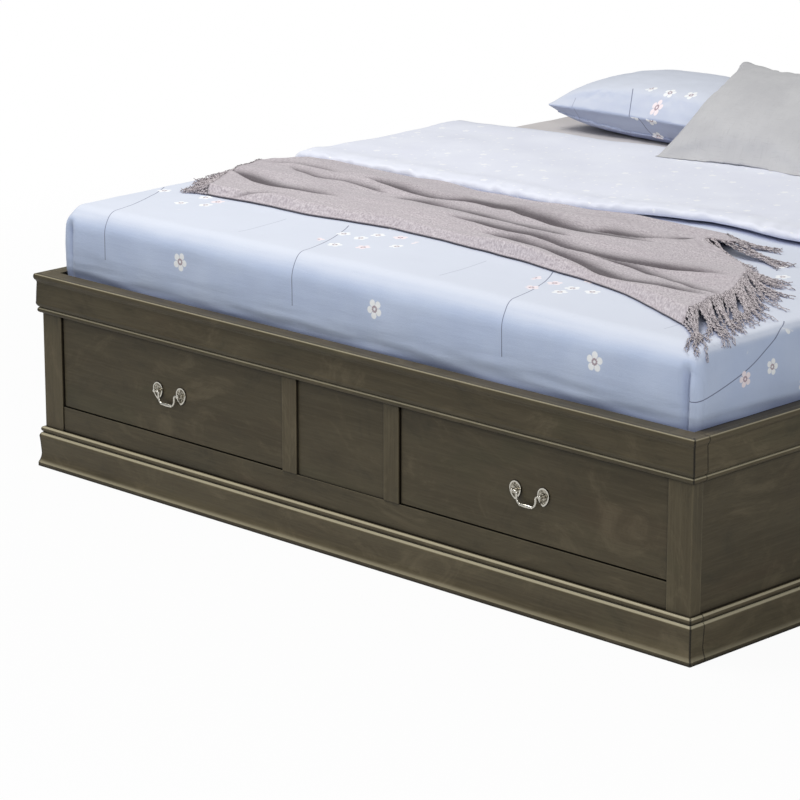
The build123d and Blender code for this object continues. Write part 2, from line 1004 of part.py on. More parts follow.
def pillow_plan(width, depth, pull, height):
    """A block over the pillow's plan, with its two ends drawn in between the corners."""
    x = width / 2
    y = depth / 2
    outline = [
        Line((-x, -y), (x, -y)),
        ThreePointArc((x, -y), (x - pull, 0), (x, y)),
        Line((x, y), (-x, y)),
        ThreePointArc((-x, y), (pull - x, 0), (-x, -y)),
    ]
    return extrude(Pos(0, 0, -height) * make_face(outline), 2 * height)


def pillow_body(slice_at, width, depth, thickness, pull):
    """A plump pillow: thin along its seam, crowned in the middle, drawn in along its sides."""
    slices = []
    for index in range(-pillow_slices, pillow_slices + 1):
        share = sin(radians(90 * index / pillow_slices))
        plump = (1 - abs(share) ** 3) ** 0.5
        half_height = (pillow_seam + (thickness - pillow_seam) * plump) / 2
        half_depth = depth / 2 - pull * (1 - share**2)
        slices.append(slice_at(share * width / 2, half_depth, half_height))
    return loft(slices, ruled=True) & pillow_plan(width, depth, pull, thickness)


def settled(piece, carriers):
    """The piece let down until it lies on what carries it."""
    gap = min(piece.distance_to(carrier) for carrier in carriers)
    while gap > soft_gap + settle_step:
        piece = Pos(0, 0, soft_gap - gap) * piece
        gap = min(piece.distance_to(carrier) for carrier in carriers)
    return piece


def pillow(sign, bed):
    body = pillow_body(pillow_slice, pillow_width, pillow_depth, pillow_thickness, pillow_corner_pull)
    height = mattress_top + pillow_thickness
    return settled(Pos(sign * pillow_middle, foot_y + pillow_setback, height) * body, [bed])


def accent_pillow(carriers):
    """A square pillow that leans on the two behind it."""
    body = pillow_body(cushion_slice, accent_size, accent_size, accent_thickness, accent_corner_pull)
    height = mattress_top + pillow_thickness + accent_size
    place = Pos(accent_x, foot_y + accent_setback, height)
    return settled(place * Rot(0, 0, accent_turn) * Rot(accent_tilt, 0, 0) * body, carriers)


# All the nodes

nodes = {
    "footboard_top_rail": footboard_top_rail(),
    "footboard_bottom_rail": footboard_bottom_rail(),
    "center_panel": center_panel(),
    "footboard_cornice": foot_moulding(cornice_profile),
    "footboard_base": foot_moulding(base_profile),
    "cornice_returns": group(moulding_return(cornice_profile, sign) for _, sign in SIDES),
    "base_returns": group(moulding_return(base_profile, sign) for _, sign in SIDES),
    "head_panel": head_panel(),
    "slats": group(slats()),
    "center_beam": center_beam(),
    "center_legs": group(center_leg(middle) for middle in leg_middles()),
    "leg_glides": group(leg_glide(middle) for middle in leg_middles()),
    "housing_back_rail": housing_back_rail(),
    "corner_brackets": group(
        corner_bracket(end, sign) for end in ("foot", "head") for _, sign in SIDES
    ),
    "bracket_bolts": group(bolt(place, way) for place, way in bolt_sets()),
    "mattress": mattress(),
    "comforter": comforter(),
    "comforter_foldback": comforter_foldback(),
    "throw_blanket": throw_blanket(),
}

for side, sign in SIDES:
    cabinet_slides, middle_slides, drawer_slide_pair = drawer_slides(sign)
    made_right = {
        "drawer_front": drawer_front(),
        "drawer_box_sides": group(box_sides()),
        "drawer_box_ends": group(box_ends()),
        "drawer_bottom": box_bottom(),
        "pull_rosettes": group(pull_rosette(x) for x in pull_places()),
        "pull_posts": group(pull_post(x) for x in pull_places()),
        "pull_nuts": group(pull_nut(x) for x in pull_places()),
        "pull_bail": pull_bail(),
    }
    for name, piece in made_right.items():
        nodes[f"{side}_{name}"] = piece if sign > 0 else mirror(piece, Plane.YZ)
    nodes[f"{side}_slide_cabinet_members"] = cabinet_slides
    nodes[f"{side}_slide_middle_members"] = middle_slides
    nodes[f"{side}_slide_drawer_members"] = drawer_slide_pair
    nodes[f"footboard_post_{side}"] = footboard_post(sign)
    nodes[f"mid_stile_{side}"] = mid_stile(sign)
    nodes[f"side_panel_{side}"] = side_panel(sign)
    nodes[f"side_cornice_{side}"] = side_moulding(cornice_profile, sign)
    nodes[f"side_base_{side}"] = side_moulding(base_profile, sign)
    nodes[f"head_post_{side}"] = head_post(sign)
    nodes[f"slat_ledger_{side}"] = slat_ledger(sign)
    nodes[f"{side}_housing_sides"] = group(
        housing_side(sign, where) for where in ("inner", "outer")
    )
    nodes[f"pillow_{side}"] = pillow(sign, nodes["mattress"])

under_accent = ("pillow_left", "pillow_right", "comforter_foldback", "mattress")
nodes["accent_pillow"] = accent_pillow([nodes[name] for name in under_accent])

os.makedirs("parts", exist_ok=True)
for name, shape in nodes.items():
    export_step(shape, f"parts/{name}.step")
    print(name, round(sum(solid.volume for solid in shape.solids()) / 1000), "cubic centimetres")
print(len(nodes), "nodes")
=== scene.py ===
# %% [markdown]
# # A platform bed with two storage drawers
# The bed's boards, drawers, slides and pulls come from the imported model, at their real size and
# place. This lesson gives them their finishes and makes the soft things that lie on the bed:
# a fitted sheet, a printed comforter, a fringed throw and three pillows.
# Lengths are metres. X runs across the bed, Y from foot to head and Z up from the floor.

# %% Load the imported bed
import math
import random

import bmesh
import bpy
from mathutils import Matrix, Vector, noise


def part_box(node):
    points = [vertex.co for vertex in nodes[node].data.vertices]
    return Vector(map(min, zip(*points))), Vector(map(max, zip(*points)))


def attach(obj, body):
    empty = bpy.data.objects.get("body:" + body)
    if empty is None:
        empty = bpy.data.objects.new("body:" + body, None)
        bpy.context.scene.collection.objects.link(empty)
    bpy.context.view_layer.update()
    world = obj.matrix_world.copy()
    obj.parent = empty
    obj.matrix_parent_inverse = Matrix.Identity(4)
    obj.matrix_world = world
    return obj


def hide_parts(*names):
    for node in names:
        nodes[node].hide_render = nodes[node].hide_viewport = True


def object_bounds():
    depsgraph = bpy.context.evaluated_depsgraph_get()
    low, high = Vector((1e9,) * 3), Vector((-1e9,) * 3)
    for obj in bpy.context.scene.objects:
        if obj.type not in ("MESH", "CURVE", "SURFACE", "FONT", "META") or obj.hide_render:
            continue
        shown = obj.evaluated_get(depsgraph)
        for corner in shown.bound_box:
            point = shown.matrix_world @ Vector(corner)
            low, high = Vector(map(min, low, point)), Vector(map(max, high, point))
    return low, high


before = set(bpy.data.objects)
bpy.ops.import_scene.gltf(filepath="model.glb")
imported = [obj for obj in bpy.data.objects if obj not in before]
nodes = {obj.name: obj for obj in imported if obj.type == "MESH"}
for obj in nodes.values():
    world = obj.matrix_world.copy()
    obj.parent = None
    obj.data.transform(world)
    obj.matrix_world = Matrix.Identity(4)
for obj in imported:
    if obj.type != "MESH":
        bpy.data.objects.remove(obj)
cad_low, cad_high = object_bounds()
scene = bpy.context.scene
print("bed", [round(side, 3) for side in cad_high - cad_low], "nodes", len(nodes))

# %% [markdown]
# ## Camera
# The picture was taken with a long lens from in front and to the right, a little above the bed.
# A long lens keeps the footboard's rails nearly parallel, so the camera stands far away and its
# angles, not its distance, set the look.

# %% Camera
view_yaw = 44.5
view_pitch = 15.48
camera_lens = 155.66
camera_place = (5.257, -6.213, 2.401)

camera = bpy.data.objects.new("camera", bpy.data.cameras.new("camera"))
camera.data.lens = camera_lens
camera.location = camera_place
camera.rotation_euler = (math.radians(90 - view_pitch), 0, math.radians(view_yaw))
scene.collection.objects.link(camera)
scene.camera = camera
scene.view_settings.view_transform = "Standard"
print("camera at", camera_place)

# %% [markdown]
# ## Node helpers
# Every finish below is a small network of nodes. A few helpers keep the networks readable: one
# makes a node with its settings, one feeds a socket with a link or with a plain value, and the
# others wrap the kinds of node that are needed most, such as sums, noises and colour mixes.


# %% Node helpers
def feed(tree, socket, value):
    """Links a socket to another, or sets its own value."""
    if isinstance(value, bpy.types.NodeSocket):
        tree.links.new(value, socket)
    else:
        socket.default_value = value


def node(tree, kind, inputs=None, **settings):
    """A new node with its settings and with some of its inputs fed by name or number."""
    made = tree.nodes.new(kind)
    for name, value in settings.items():
        setattr(made, name, value)
    for name, value in (inputs or {}).items():
        feed(tree, made.inputs[name], value)
    return made


def sums(tree, operation, *values, clamp=False):
    """The result of one Math node."""
    inputs = dict(enumerate(values))
    return node(tree, "ShaderNodeMath", inputs, operation=operation, use_clamp=clamp).outputs[0]


def vectors(tree, operation, *values):
    """The vector from one Vector Math node."""
    return node(tree, "ShaderNodeVectorMath", dict(enumerate(values)), operation=operation).outputs["Vector"]


def measured(tree, operation, *values):
    """The number from one Vector Math node, such as a length."""
    return node(tree, "ShaderNodeVectorMath", dict(enumerate(values)), operation=operation).outputs["Value"]


def axes_of(tree, vector):
    """The X, Y and Z of a vector."""
    return node(tree, "ShaderNodeSeparateXYZ", {0: vector}).outputs


def object_places(tree):
    """Places in the piece's own coordinates."""
    return tree.nodes.new("ShaderNodeTexCoord").outputs["Object"]


def upward_facing(tree):
    """How far a surface faces up: 1 on top, 0 on a wall and -1 underneath."""
    return axes_of(tree, tree.nodes.new("ShaderNodeNewGeometry").outputs["Normal"])["Z"]


def mixed(tree, factor, first, second, blend="MIX"):
    """The colour from one Mix node."""
    made = node(tree, "ShaderNodeMix", data_type="RGBA", blend_type=blend)
    feed(tree, made.inputs[0], factor)
    feed(tree, made.inputs[6], first)
    feed(tree, made.inputs[7], second)
    return made.outputs[2]


def ramped(tree, value, low, high, start=0.0, end=1.0):
    """A value stretched smoothly from one range to another."""
    inputs = {0: value, 1: low, 2: high, 3: start, 4: end}
    made = node(tree, "ShaderNodeMapRange", inputs, interpolation_type="SMOOTHSTEP")
    return made.outputs[0]


def noisy(tree, vector, scale, detail=3.0, roughness=0.55, distortion=0.0):
    """The value of a Noise Texture."""
    inputs = {
        "Vector": vector, "Scale": scale, "Detail": detail,
        "Roughness": roughness, "Distortion": distortion,
    }
    return node(tree, "ShaderNodeTexNoise", inputs).outputs[0]


def stretched(tree, place, stretch, detail=3.0, roughness=0.55, distortion=0.0):
    """Noise that is drawn out differently along each axis."""
    return noisy(tree, vectors(tree, "MULTIPLY", place, stretch), 1.0, detail, roughness, distortion)


def layered(tree, colour, layers):
    """A colour with others laid over it in turn, each with the amount that covers."""
    for amount, layer_colour in layers:
        colour = mixed(tree, amount, colour, layer_colour)
    return colour


def paint(red, green, blue):
    """A colour given as it shows on a screen, 0 to 255, in the renderer's linear values."""
    shares = [value / 255 for value in (red, green, blue)]
    linear = [
        share / 12.92 if share <= 0.04045 else ((share + 0.055) / 1.055) ** 2.4
        for share in shares
    ]
    return (*linear, 1.0)


def new_material(name):
    """A material with its node tree and its Principled shader."""
    material = bpy.data.materials.new(name)
    material.use_nodes = True
    tree = material.node_tree
    return material, tree, tree.nodes["Principled BSDF"]


def new_group(name, inputs, outputs):
    """An empty node group; sockets are given as name and type."""
    group = bpy.data.node_groups.new(name, "ShaderNodeTree")
    for socket, kind in inputs:
        group.interface.new_socket(socket, in_out="INPUT", socket_type=f"NodeSocket{kind}")
    for socket, kind in outputs:
        group.interface.new_socket(socket, in_out="OUTPUT", socket_type=f"NodeSocket{kind}")
    start = group.nodes.new("NodeGroupInput").outputs
    end = group.nodes.new("NodeGroupOutput").inputs
    return group, start, end


def placed_group(tree, group, **inputs):
    """A group placed in a material; underscores in input names stand for spaces."""
    made = tree.nodes.new("ShaderNodeGroup")
    made.node_tree = group
    for name, value in inputs.items():
        feed(tree, made.inputs[name.replace("_", " ")], value)
    return made.outputs


def bumped(tree, shader, height, strength, distance):
    """Feeds the shader's normal from a height."""
    inputs = {"Height": height, "Strength": strength, "Distance": distance}
    bump = node(tree, "ShaderNodeBump", inputs)
    tree.links.new(bump.outputs[0], shader.inputs["Normal"])


print("helpers ready")

# %% [markdown]
# ## Studio
# The bed stands on a plain white floor in an even white room. A large soft lamp overhead is the
# key, and a weaker one in front on the right keeps the near corner from going dull. The room is
# dimmer for light that falls on the bed than for the camera, so the background is white while
# colours render as written. Under the bed the floor has no glow of its own, so it is dark there.

# %% Studio
room_light = 0.30
floor_size = 60.0
floor_glow_near = 0.955
floor_fade = (1.5, 4.0)

world = bpy.data.worlds.new("studio_room")
world.use_nodes = True
scene.world = world
room = world.node_tree
seen = room.nodes["Background"]
seen.inputs["Color"].default_value = (1, 1, 1, 1)
dim = node(room, "ShaderNodeBackground", {"Color": (0.94, 0.975, 1, 1), "Strength": room_light})
path = room.nodes.new("ShaderNodeLightPath").outputs
direct = sums(room, "MAXIMUM", path["Is Camera Ray"], path["Is Transmission Ray"])
room_mix = node(room, "ShaderNodeMixShader", {0: direct, 1: dim.outputs[0], 2: seen.outputs[0]})
room.links.new(room_mix.outputs[0], room.nodes["World Output"].inputs["Surface"])

floor_shape = bmesh.new()
bmesh.ops.create_grid(floor_shape, x_segments=1, y_segments=1, size=floor_size / 2)
floor = bpy.data.objects.new("floor", bpy.data.meshes.new("floor"))
floor_shape.to_mesh(floor.data)
floor_shape.free()
scene.collection.objects.link(floor)

floor_paint, tree, shader = new_material("white_floor")
shader.inputs["Base Color"].default_value = paint(214, 214, 214)
shader.inputs["Roughness"].default_value = 0.9
shader.inputs["Specular IOR Level"].default_value = 0.0
glow = node(tree, "ShaderNodeEmission", {"Color": (1, 1, 1, 1)})
camera_ray = tree.nodes.new("ShaderNodeLightPath").outputs["Is Camera Ray"]
floor_spot = object_places(tree)
away = measured(tree, "LENGTH", floor_spot)
glow_share = sums(tree, "MULTIPLY", camera_ray, ramped(tree, away, *floor_fade, floor_glow_near, 1.0))
from_middle = vectors(tree, "ABSOLUTE", floor_spot)
past_bed = vectors(tree, "SUBTRACT", from_middle, (cad_high.x, cad_high.y, 0))
past_sides = axes_of(tree, past_bed)
in_open = ramped(tree, sums(tree, "MAXIMUM", past_sides["X"], past_sides["Y"]), -0.04, -0.01)
glow_share = sums(tree, "MULTIPLY", glow_share, in_open)
floor_mix = node(tree, "ShaderNodeMixShader", {0: glow_share, 1: shader.outputs[0], 2: glow.outputs[0]})
tree.links.new(floor_mix.outputs[0], tree.nodes["Material Output"].inputs["Surface"])
floor.data.materials.append(floor_paint)


def lamp(name, power, size, place, target, tint=(1, 1, 1)):
    """An area lamp that faces its target."""
    made = bpy.data.objects.new(name, bpy.data.lights.new(name, "AREA"))
    made.data.shape = "RECTANGLE"
    made.data.size, made.data.size_y = size
    made.data.energy = power
    made.data.color = tint
    made.location = place
    made.rotation_euler = (Vector(target) - Vector(place)).to_track_quat("-Z", "Y").to_euler()
    scene.collection.objects.link(made)


lamp("key_lamp", 138, (2.6, 2.0), (-1.2, -1.7, 4.3), (0, 0, 0.4), (1, 0.985, 0.95))
lamp("front_lamp", 64, (1.8, 1.4), (4.0, -3.5, 2.8), (0.5, -0.8, 0.4), (1, 0.985, 0.96))
print("studio lit")

# %% [markdown]
# ## Weathered wood
# The frame is stained a dark grey-brown. Soft clouds of lighter and darker stain lie over faint
# streaks and fibres that run along each board, with a hint of red or green here and there. Edges
# are paler, partly rubbed wear and partly painted highlight, and the upper round of each bead has
# a painted highlight. The quirks of the mouldings and other crevices are painted near black as
# painted shade, and the ends of boards, where they meet end to end, are stained dark. One group
# makes the grain from coordinates whose first axis runs along the board, and a second one finds
# edges, joints and crevices from the shape.


# %% Wood grain and edge groups
def wood_grain_group():
    """Streaks, fibres, patches, clouds and pores from coordinates that run along the board."""
    group, start, end = new_group(
        "wood_grain", [("Along", "Vector")],
        [(name, "Float") for name in ("Streaks", "Fibres", "Patches", "Clouds", "Pores")],
    )
    kinds = {
        "Streaks": ((2.4, 17.0, 17.0), 4.0, 0.6, 0.7),
        "Fibres": ((9.0, 210.0, 210.0), 3.0, 0.6, 0.3),
        "Patches": ((3.0, 8.0, 8.0), 3.0, 0.55, 0.5),
        "Clouds": ((5.0, 9.0, 9.0), 6.0, 0.68, 1.1),
    }
    for name, look in kinds.items():
        feed(group, end[name], stretched(group, start["Along"], *look))
    pores = stretched(group, start["Along"], (38.0, 620.0, 620.0), 1.0)
    feed(group, end["Pores"], ramped(group, pores, 0.60, 0.72))
    return group


def edge_group():
    """Masks of convex edges, of the upward band on beads that takes a painted highlight, of a board's two
    ends and of crevices, from ambient occlusion.
    """
    group, start, end = new_group(
        "edges_and_crevices",
        [("Edge Width", "Float"), ("Crevice Width", "Float"), ("Length Axis", "Vector")],
        [(name, "Float") for name in ("Edges", "Bead Highlight", "Ends", "Crevices")],
    )
    rounded = node(group, "ShaderNodeBevel", {"Radius": start["Edge Width"]}, samples=4).outputs[0]
    facing = group.nodes.new("ShaderNodeNewGeometry").outputs["Normal"]
    turned = measured(group, "DOT_PRODUCT", rounded, facing)
    lengthways = [
        sums(group, "ABSOLUTE", measured(group, "DOT_PRODUCT", way, start["Length Axis"]))
        for way in (rounded, facing)
    ]
    ends = ramped(group, sums(group, "SUBTRACT", *lengthways), 0.06, 0.30)
    sides = sums(group, "SUBTRACT", 1.0, ends)
    feed(group, end["Ends"], ends)
    feed(group, end["Edges"], sums(group, "MULTIPLY", ramped(group, turned, 0.99, 0.88), sides))
    upward = upward_facing(group)
    # Painted highlight: a band where the surface faces partly up, on the upper round of beads and mouldings.
    highlight_band = sums(group, "MULTIPLY", ramped(group, upward, 0.28, 0.50), ramped(group, upward, 0.97, 0.90))
    feed(group, end["Bead Highlight"], highlight_band)
    # Crevices found by ambient occlusion; the wood and the cloths darken them as painted shade, the metals
    # as tarnish.
    shade = node(group, "ShaderNodeAmbientOcclusion", {"Distance": start["Crevice Width"]}, samples=8)
    feed(group, end["Crevices"], ramped(group, shade.outputs["AO"], 0.92, 0.46))
    return group


WOOD_GRAIN = wood_grain_group()
EDGES = edge_group()
print("wood groups ready")

# %% [markdown]
# Boards are cut along the grain, so the rails run across the bed, the sides along it, and the
# posts and stiles stand upright. The same finish is made three times, with the coordinates taken
# in another order. Each board also starts at another place in the grain, by a chance number that
# belongs to its object, so that no two neighbours look like one sheet.


# %% Weathered wood
GRAIN_ORDER = {"across": "XYZ", "along": "YXZ", "upright": "ZXY"}
LENGTH_AXES = {"across": (1, 0, 0), "along": (0, 1, 0), "upright": (0, 0, 1)}


def board_coordinates(tree, way):
    """Object coordinates in the order that runs along the board, moved by the object's own chance."""
    place = object_places(tree)
    axes = axes_of(tree, place)
    order = {index: axes[axis] for index, axis in enumerate(GRAIN_ORDER[way])}
    turned = node(tree, "ShaderNodeCombineXYZ", order).outputs[0]
    chance = tree.nodes.new("ShaderNodeObjectInfo").outputs["Random"]
    shift = sums(tree, "MULTIPLY", chance, 37.0)
    return vectors(tree, "ADD", turned, shift)


def weathered_wood(way, kind="board", tone=1.0):
    """The stained finish for boards that run one way; a tone above 1 is a paler board."""
    material, tree, shader = new_material(f"weathered_{kind}_{way}")
    grain = placed_group(tree, WOOD_GRAIN, Along=board_coordinates(tree, way))
    shape_masks = placed_group(tree, EDGES, Edge_Width=0.004, Crevice_Width=0.016, Length_Axis=LENGTH_AXES[way])
    colour = mixed(tree, ramped(tree, grain["Streaks"], 0.2, 0.8), paint(70, 62, 46), paint(85, 77, 59))
    stains = [
        (ramped(tree, grain["Clouds"], 0.50, 0.74, 0.0, 0.65), paint(108, 98, 78)),
        (ramped(tree, grain["Clouds"], 0.47, 0.28, 0.0, 0.6), paint(56, 51, 38)),
        (ramped(tree, grain["Patches"], 0.54, 0.76, 0.0, 0.15), paint(92, 73, 57)),
        (ramped(tree, grain["Patches"], 0.46, 0.28, 0.0, 0.35), paint(69, 67, 48)),
        (ramped(tree, grain["Fibres"], 0.40, 0.72, 0.0, 0.16), paint(110, 101, 80)),
        (sums(tree, "MULTIPLY", grain["Pores"], 0.2), paint(38, 34, 25)),
    ]
    # Edges paler as rubbed wear and painted highlight, a painted highlight on beads, painted shade in
    # crevices, dark stained board ends.
    wear_and_painted_light = [
        (sums(tree, "MULTIPLY", shape_masks["Edges"], 0.4), paint(140, 131, 107)),
        (sums(tree, "MULTIPLY", shape_masks["Bead Highlight"], 0.85), paint(190, 181, 154)),
        (sums(tree, "MULTIPLY", shape_masks["Crevices"], 0.94), paint(11, 9, 7)),
        (sums(tree, "MULTIPLY", shape_masks["Ends"], 0.85), paint(15, 13, 10)),
    ]
    colour = mixed(tree, 1.0, layered(tree, colour, stains), (tone, tone, tone, 1), "MULTIPLY")
    tree.links.new(layered(tree, colour, wear_and_painted_light), shader.inputs["Base Color"])
    feed(tree, shader.inputs["Roughness"], ramped(tree, grain["Clouds"], 0.3, 0.7, 0.42, 0.56))
    shader.inputs["Specular IOR Level"].default_value = 0.22
    shader.inputs["Coat Weight"].default_value = 0.12
    shader.inputs["Coat Roughness"].default_value = 0.18
    height = sums(tree, "SUBTRACT", grain["Fibres"], grain["Pores"])
    bumped(tree, shader, height, 0.25, 0.0003)
    return material


WOOD = {way: weathered_wood(way) for way in GRAIN_ORDER}
WOOD["post"] = weathered_wood("upright", "post", 1.2)
# The bases, the side mouldings and the returns take a paler copy of the stain; it is painted light, standing
# for the brighter light on them.
PALER = {way: weathered_wood(way, "base", 1.25) for way in ("across", "along")}
print("wood finishes", len(WOOD) + len(PALER))

# %% [markdown]
# ## Plain wood, steel, nickel and plastic
# What the eye seldom sees has plainer finishes: pale bare timber for slats and drawer boxes,
# zinc-plated steel for slides and brackets, and dark plastic under the legs. The pulls are satin
# nickel. Their plates are antiqued: the sunk middle is dark, with worn flecks, and the raised rim
# is bright. The plate's own depth, read from its coordinates, tells the two apart.


# %% Plain wood, steel, nickel and plastic
def pale_wood(way):
    material, tree, shader = new_material(f"pale_wood_{way}")
    grain = placed_group(tree, WOOD_GRAIN, Along=board_coordinates(tree, way))
    colour = layered(tree, paint(196, 164, 120), [
        (ramped(tree, grain["Streaks"], 0.3, 0.72), paint(225, 202, 162)),
        (ramped(tree, grain["Patches"], 0.45, 0.75, 0.0, 0.4), paint(205, 168, 122)),
        (sums(tree, "MULTIPLY", grain["Pores"], 0.4), paint(158, 122, 82)),
    ])
    tree.links.new(colour, shader.inputs["Base Color"])
    feed(tree, shader.inputs["Roughness"], ramped(tree, grain["Fibres"], 0.3, 0.7, 0.55, 0.7))
    bumped(tree, shader, grain["Fibres"], 0.3, 0.0004)
    return material


def metal(name, bright, dull, low, high, brush, crevice, sunk_below=None):
    """A satin metal with brushed streaks, dull in its hollows and, past a depth, antiqued."""
    material, tree, shader = new_material(name)
    place = object_places(tree)
    streaks = stretched(tree, place, brush)
    cloud = noisy(tree, place, 60.0, 3.0)
    shape_masks = placed_group(tree, EDGES, Edge_Width=0.001, Crevice_Width=crevice)
    tarnish = sums(tree, "MULTIPLY", shape_masks["Crevices"], 0.8)
    tarnish = sums(tree, "ADD", tarnish, ramped(tree, cloud, 0.5, 0.75, 0.0, 0.25), clamp=True)
    colour = mixed(tree, tarnish, bright, dull)
    if sunk_below is not None:
        depth = axes_of(tree, place)["Y"]
        sunk = ramped(tree, depth, sunk_below, sunk_below + antique_depth)
        flecks = ramped(tree, noisy(tree, place, 260.0, 2.0), 0.42, 0.62)
        colour = mixed(tree, sunk, colour, mixed(tree, flecks, paint(104, 98, 86), paint(206, 200, 186)))
    tree.links.new(colour, shader.inputs["Base Color"])
    feed(tree, shader.inputs["Roughness"], ramped(tree, streaks, 0.3, 0.7, low, high))
    shader.inputs["Metallic"].default_value = 1.0
    bumped(tree, shader, streaks, 0.04, 0.0002)
    return material


def glide_plastic():
    material, tree, shader = new_material("glide_plastic")
    place = object_places(tree)
    grain = noisy(tree, place, 900.0, 2.0)
    tree.links.new(mixed(tree, grain, paint(38, 38, 40), paint(52, 52, 54)), shader.inputs["Base Color"])
    feed(tree, shader.inputs["Roughness"], ramped(tree, grain, 0.3, 0.7, 0.45, 0.6))
    bumped(tree, shader, grain, 0.2, 0.0002)
    return material


antique_depth = 0.0005
plate_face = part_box("left_pull_rosettes")[0].y
nickel_look = (paint(232, 228, 218), paint(128, 122, 110), 0.18, 0.32, (400, 400, 90), 0.006)
PALE = {way: pale_wood(way) for way in GRAIN_ORDER}
NICKEL = metal("satin_nickel", *nickel_look)
ANTIQUED = metal("antiqued_nickel", *nickel_look, sunk_below=plate_face + antique_depth / 2)
ZINC = metal("zinc_steel", paint(196, 199, 203), paint(132, 135, 139), 0.28, 0.42, (500, 14, 500), 0.008)
PLASTIC = glide_plastic()
print("plain finishes ready")

# %% [markdown]
# ## Finishes on the bed's own pieces
# A finish is chosen by the piece's name. Each list of name endings is tried in turn, so a rule
# for a whole kind of piece takes one line.

# %% Finishes on the bed's own pieces
FINISHES = [
    (WOOD["post"], ("footboard_post", "mid_stile")),
    (WOOD["upright"], ("head_post",)),
    (PALER["across"], ("footboard_base",)),
    (PALER["along"], ("side_base", "base_returns", "side_cornice", "cornice_returns")),
    (WOOD["along"], ("side_panel",)),
    (WOOD["across"], ("footboard_", "center_panel", "head_panel", "drawer_front")),
    (PALE["across"], ("slats", "drawer_box_ends", "drawer_bottom", "housing_back_rail")),
    (PALE["along"], ("slat_ledger", "center_beam", "housing_sides", "drawer_box_sides")),
    (PALE["upright"], ("center_legs",)),
    (ANTIQUED, ("pull_rosettes",)),
    (NICKEL, ("pull_",)),
    (ZINC, ("slide_", "corner_brackets", "bracket_bolts")),
    (PLASTIC, ("leg_glides",)),
]

finished = 0
for name, piece in nodes.items():
    for finish, marks in FINISHES:
        if any(mark in name for mark in marks):
            piece.data.materials.clear()
            piece.data.materials.append(finish)
            finished += 1
            break
print("finished CAD pieces", finished, "of", len(nodes))

# %% [markdown]
# ## Cloth finishes
# Cotton, knit and linen all start from threads. The weave group gives the height of crossing
# threads from places on the flat cloth, and a soft cloudiness that stands for uneven dye and wear.
# Every soft piece therefore carries a UV map in metres, unrolled the way its cloth was cut.


# %% Weave group
CLOTH_MAP = "cloth"


def weave_group():
    """Height of crossing threads and a soft cloud, from places on the flat cloth."""
    group, start, end = new_group(
        "weave", [("Cloth", "Vector"), ("Threads", "Float")], [("Height", "Float"), ("Cloud", "Float")]
    )
    axes = axes_of(group, start["Cloth"])
    turns = sums(group, "MULTIPLY", start["Threads"], math.pi)
    warp = sums(group, "SINE", sums(group, "MULTIPLY", axes["X"], turns))
    weft = sums(group, "SINE", sums(group, "MULTIPLY", axes["Y"], turns))
    crossing = sums(group, "MULTIPLY", warp, weft)
    slub = noisy(group, start["Cloth"], 260.0, 3.0)
    feed(group, end["Height"], sums(group, "MULTIPLY_ADD", crossing, 0.4, slub))
    feed(group, end["Cloud"], noisy(group, start["Cloth"], 7.0, 4.0))
    return group


def cloth_places(tree):
    return node(tree, "ShaderNodeUVMap", uv_map=CLOTH_MAP).outputs[0]


WEAVE = weave_group()
print("weave ready")

# %% [markdown]
# ## Blossom print
# The comforter and its pillow cases are printed with small five-petalled blossoms and thin bent
# stems, a common kind of bedding print that repeats across the cloth. Each repeat has one lone
# blossom, two stems and two loose bunches. A rule of angle and distance draws the petals, and part
# of a thin ring draws a stem, so that a handful of nodes prints the whole cloth.


# %% Print groups
def repeated(group, cloth, middle, cell):
    """Places around the middle of the nearest repeat."""
    moved = vectors(group, "SUBTRACT", cloth, middle)
    scaled = vectors(group, "DIVIDE", moved, cell)
    scaled = vectors(group, "ADD", scaled, (0.5, 0.5, 0.5))
    within = vectors(group, "FRACTION", scaled)
    within = vectors(group, "SUBTRACT", within, (0.5, 0.5, 0.5))
    local = vectors(group, "MULTIPLY", within, cell)
    corner = vectors(group, "FLOOR", scaled)
    return vectors(group, "MULTIPLY", local, (1.0, 1.0, 0.0)), corner


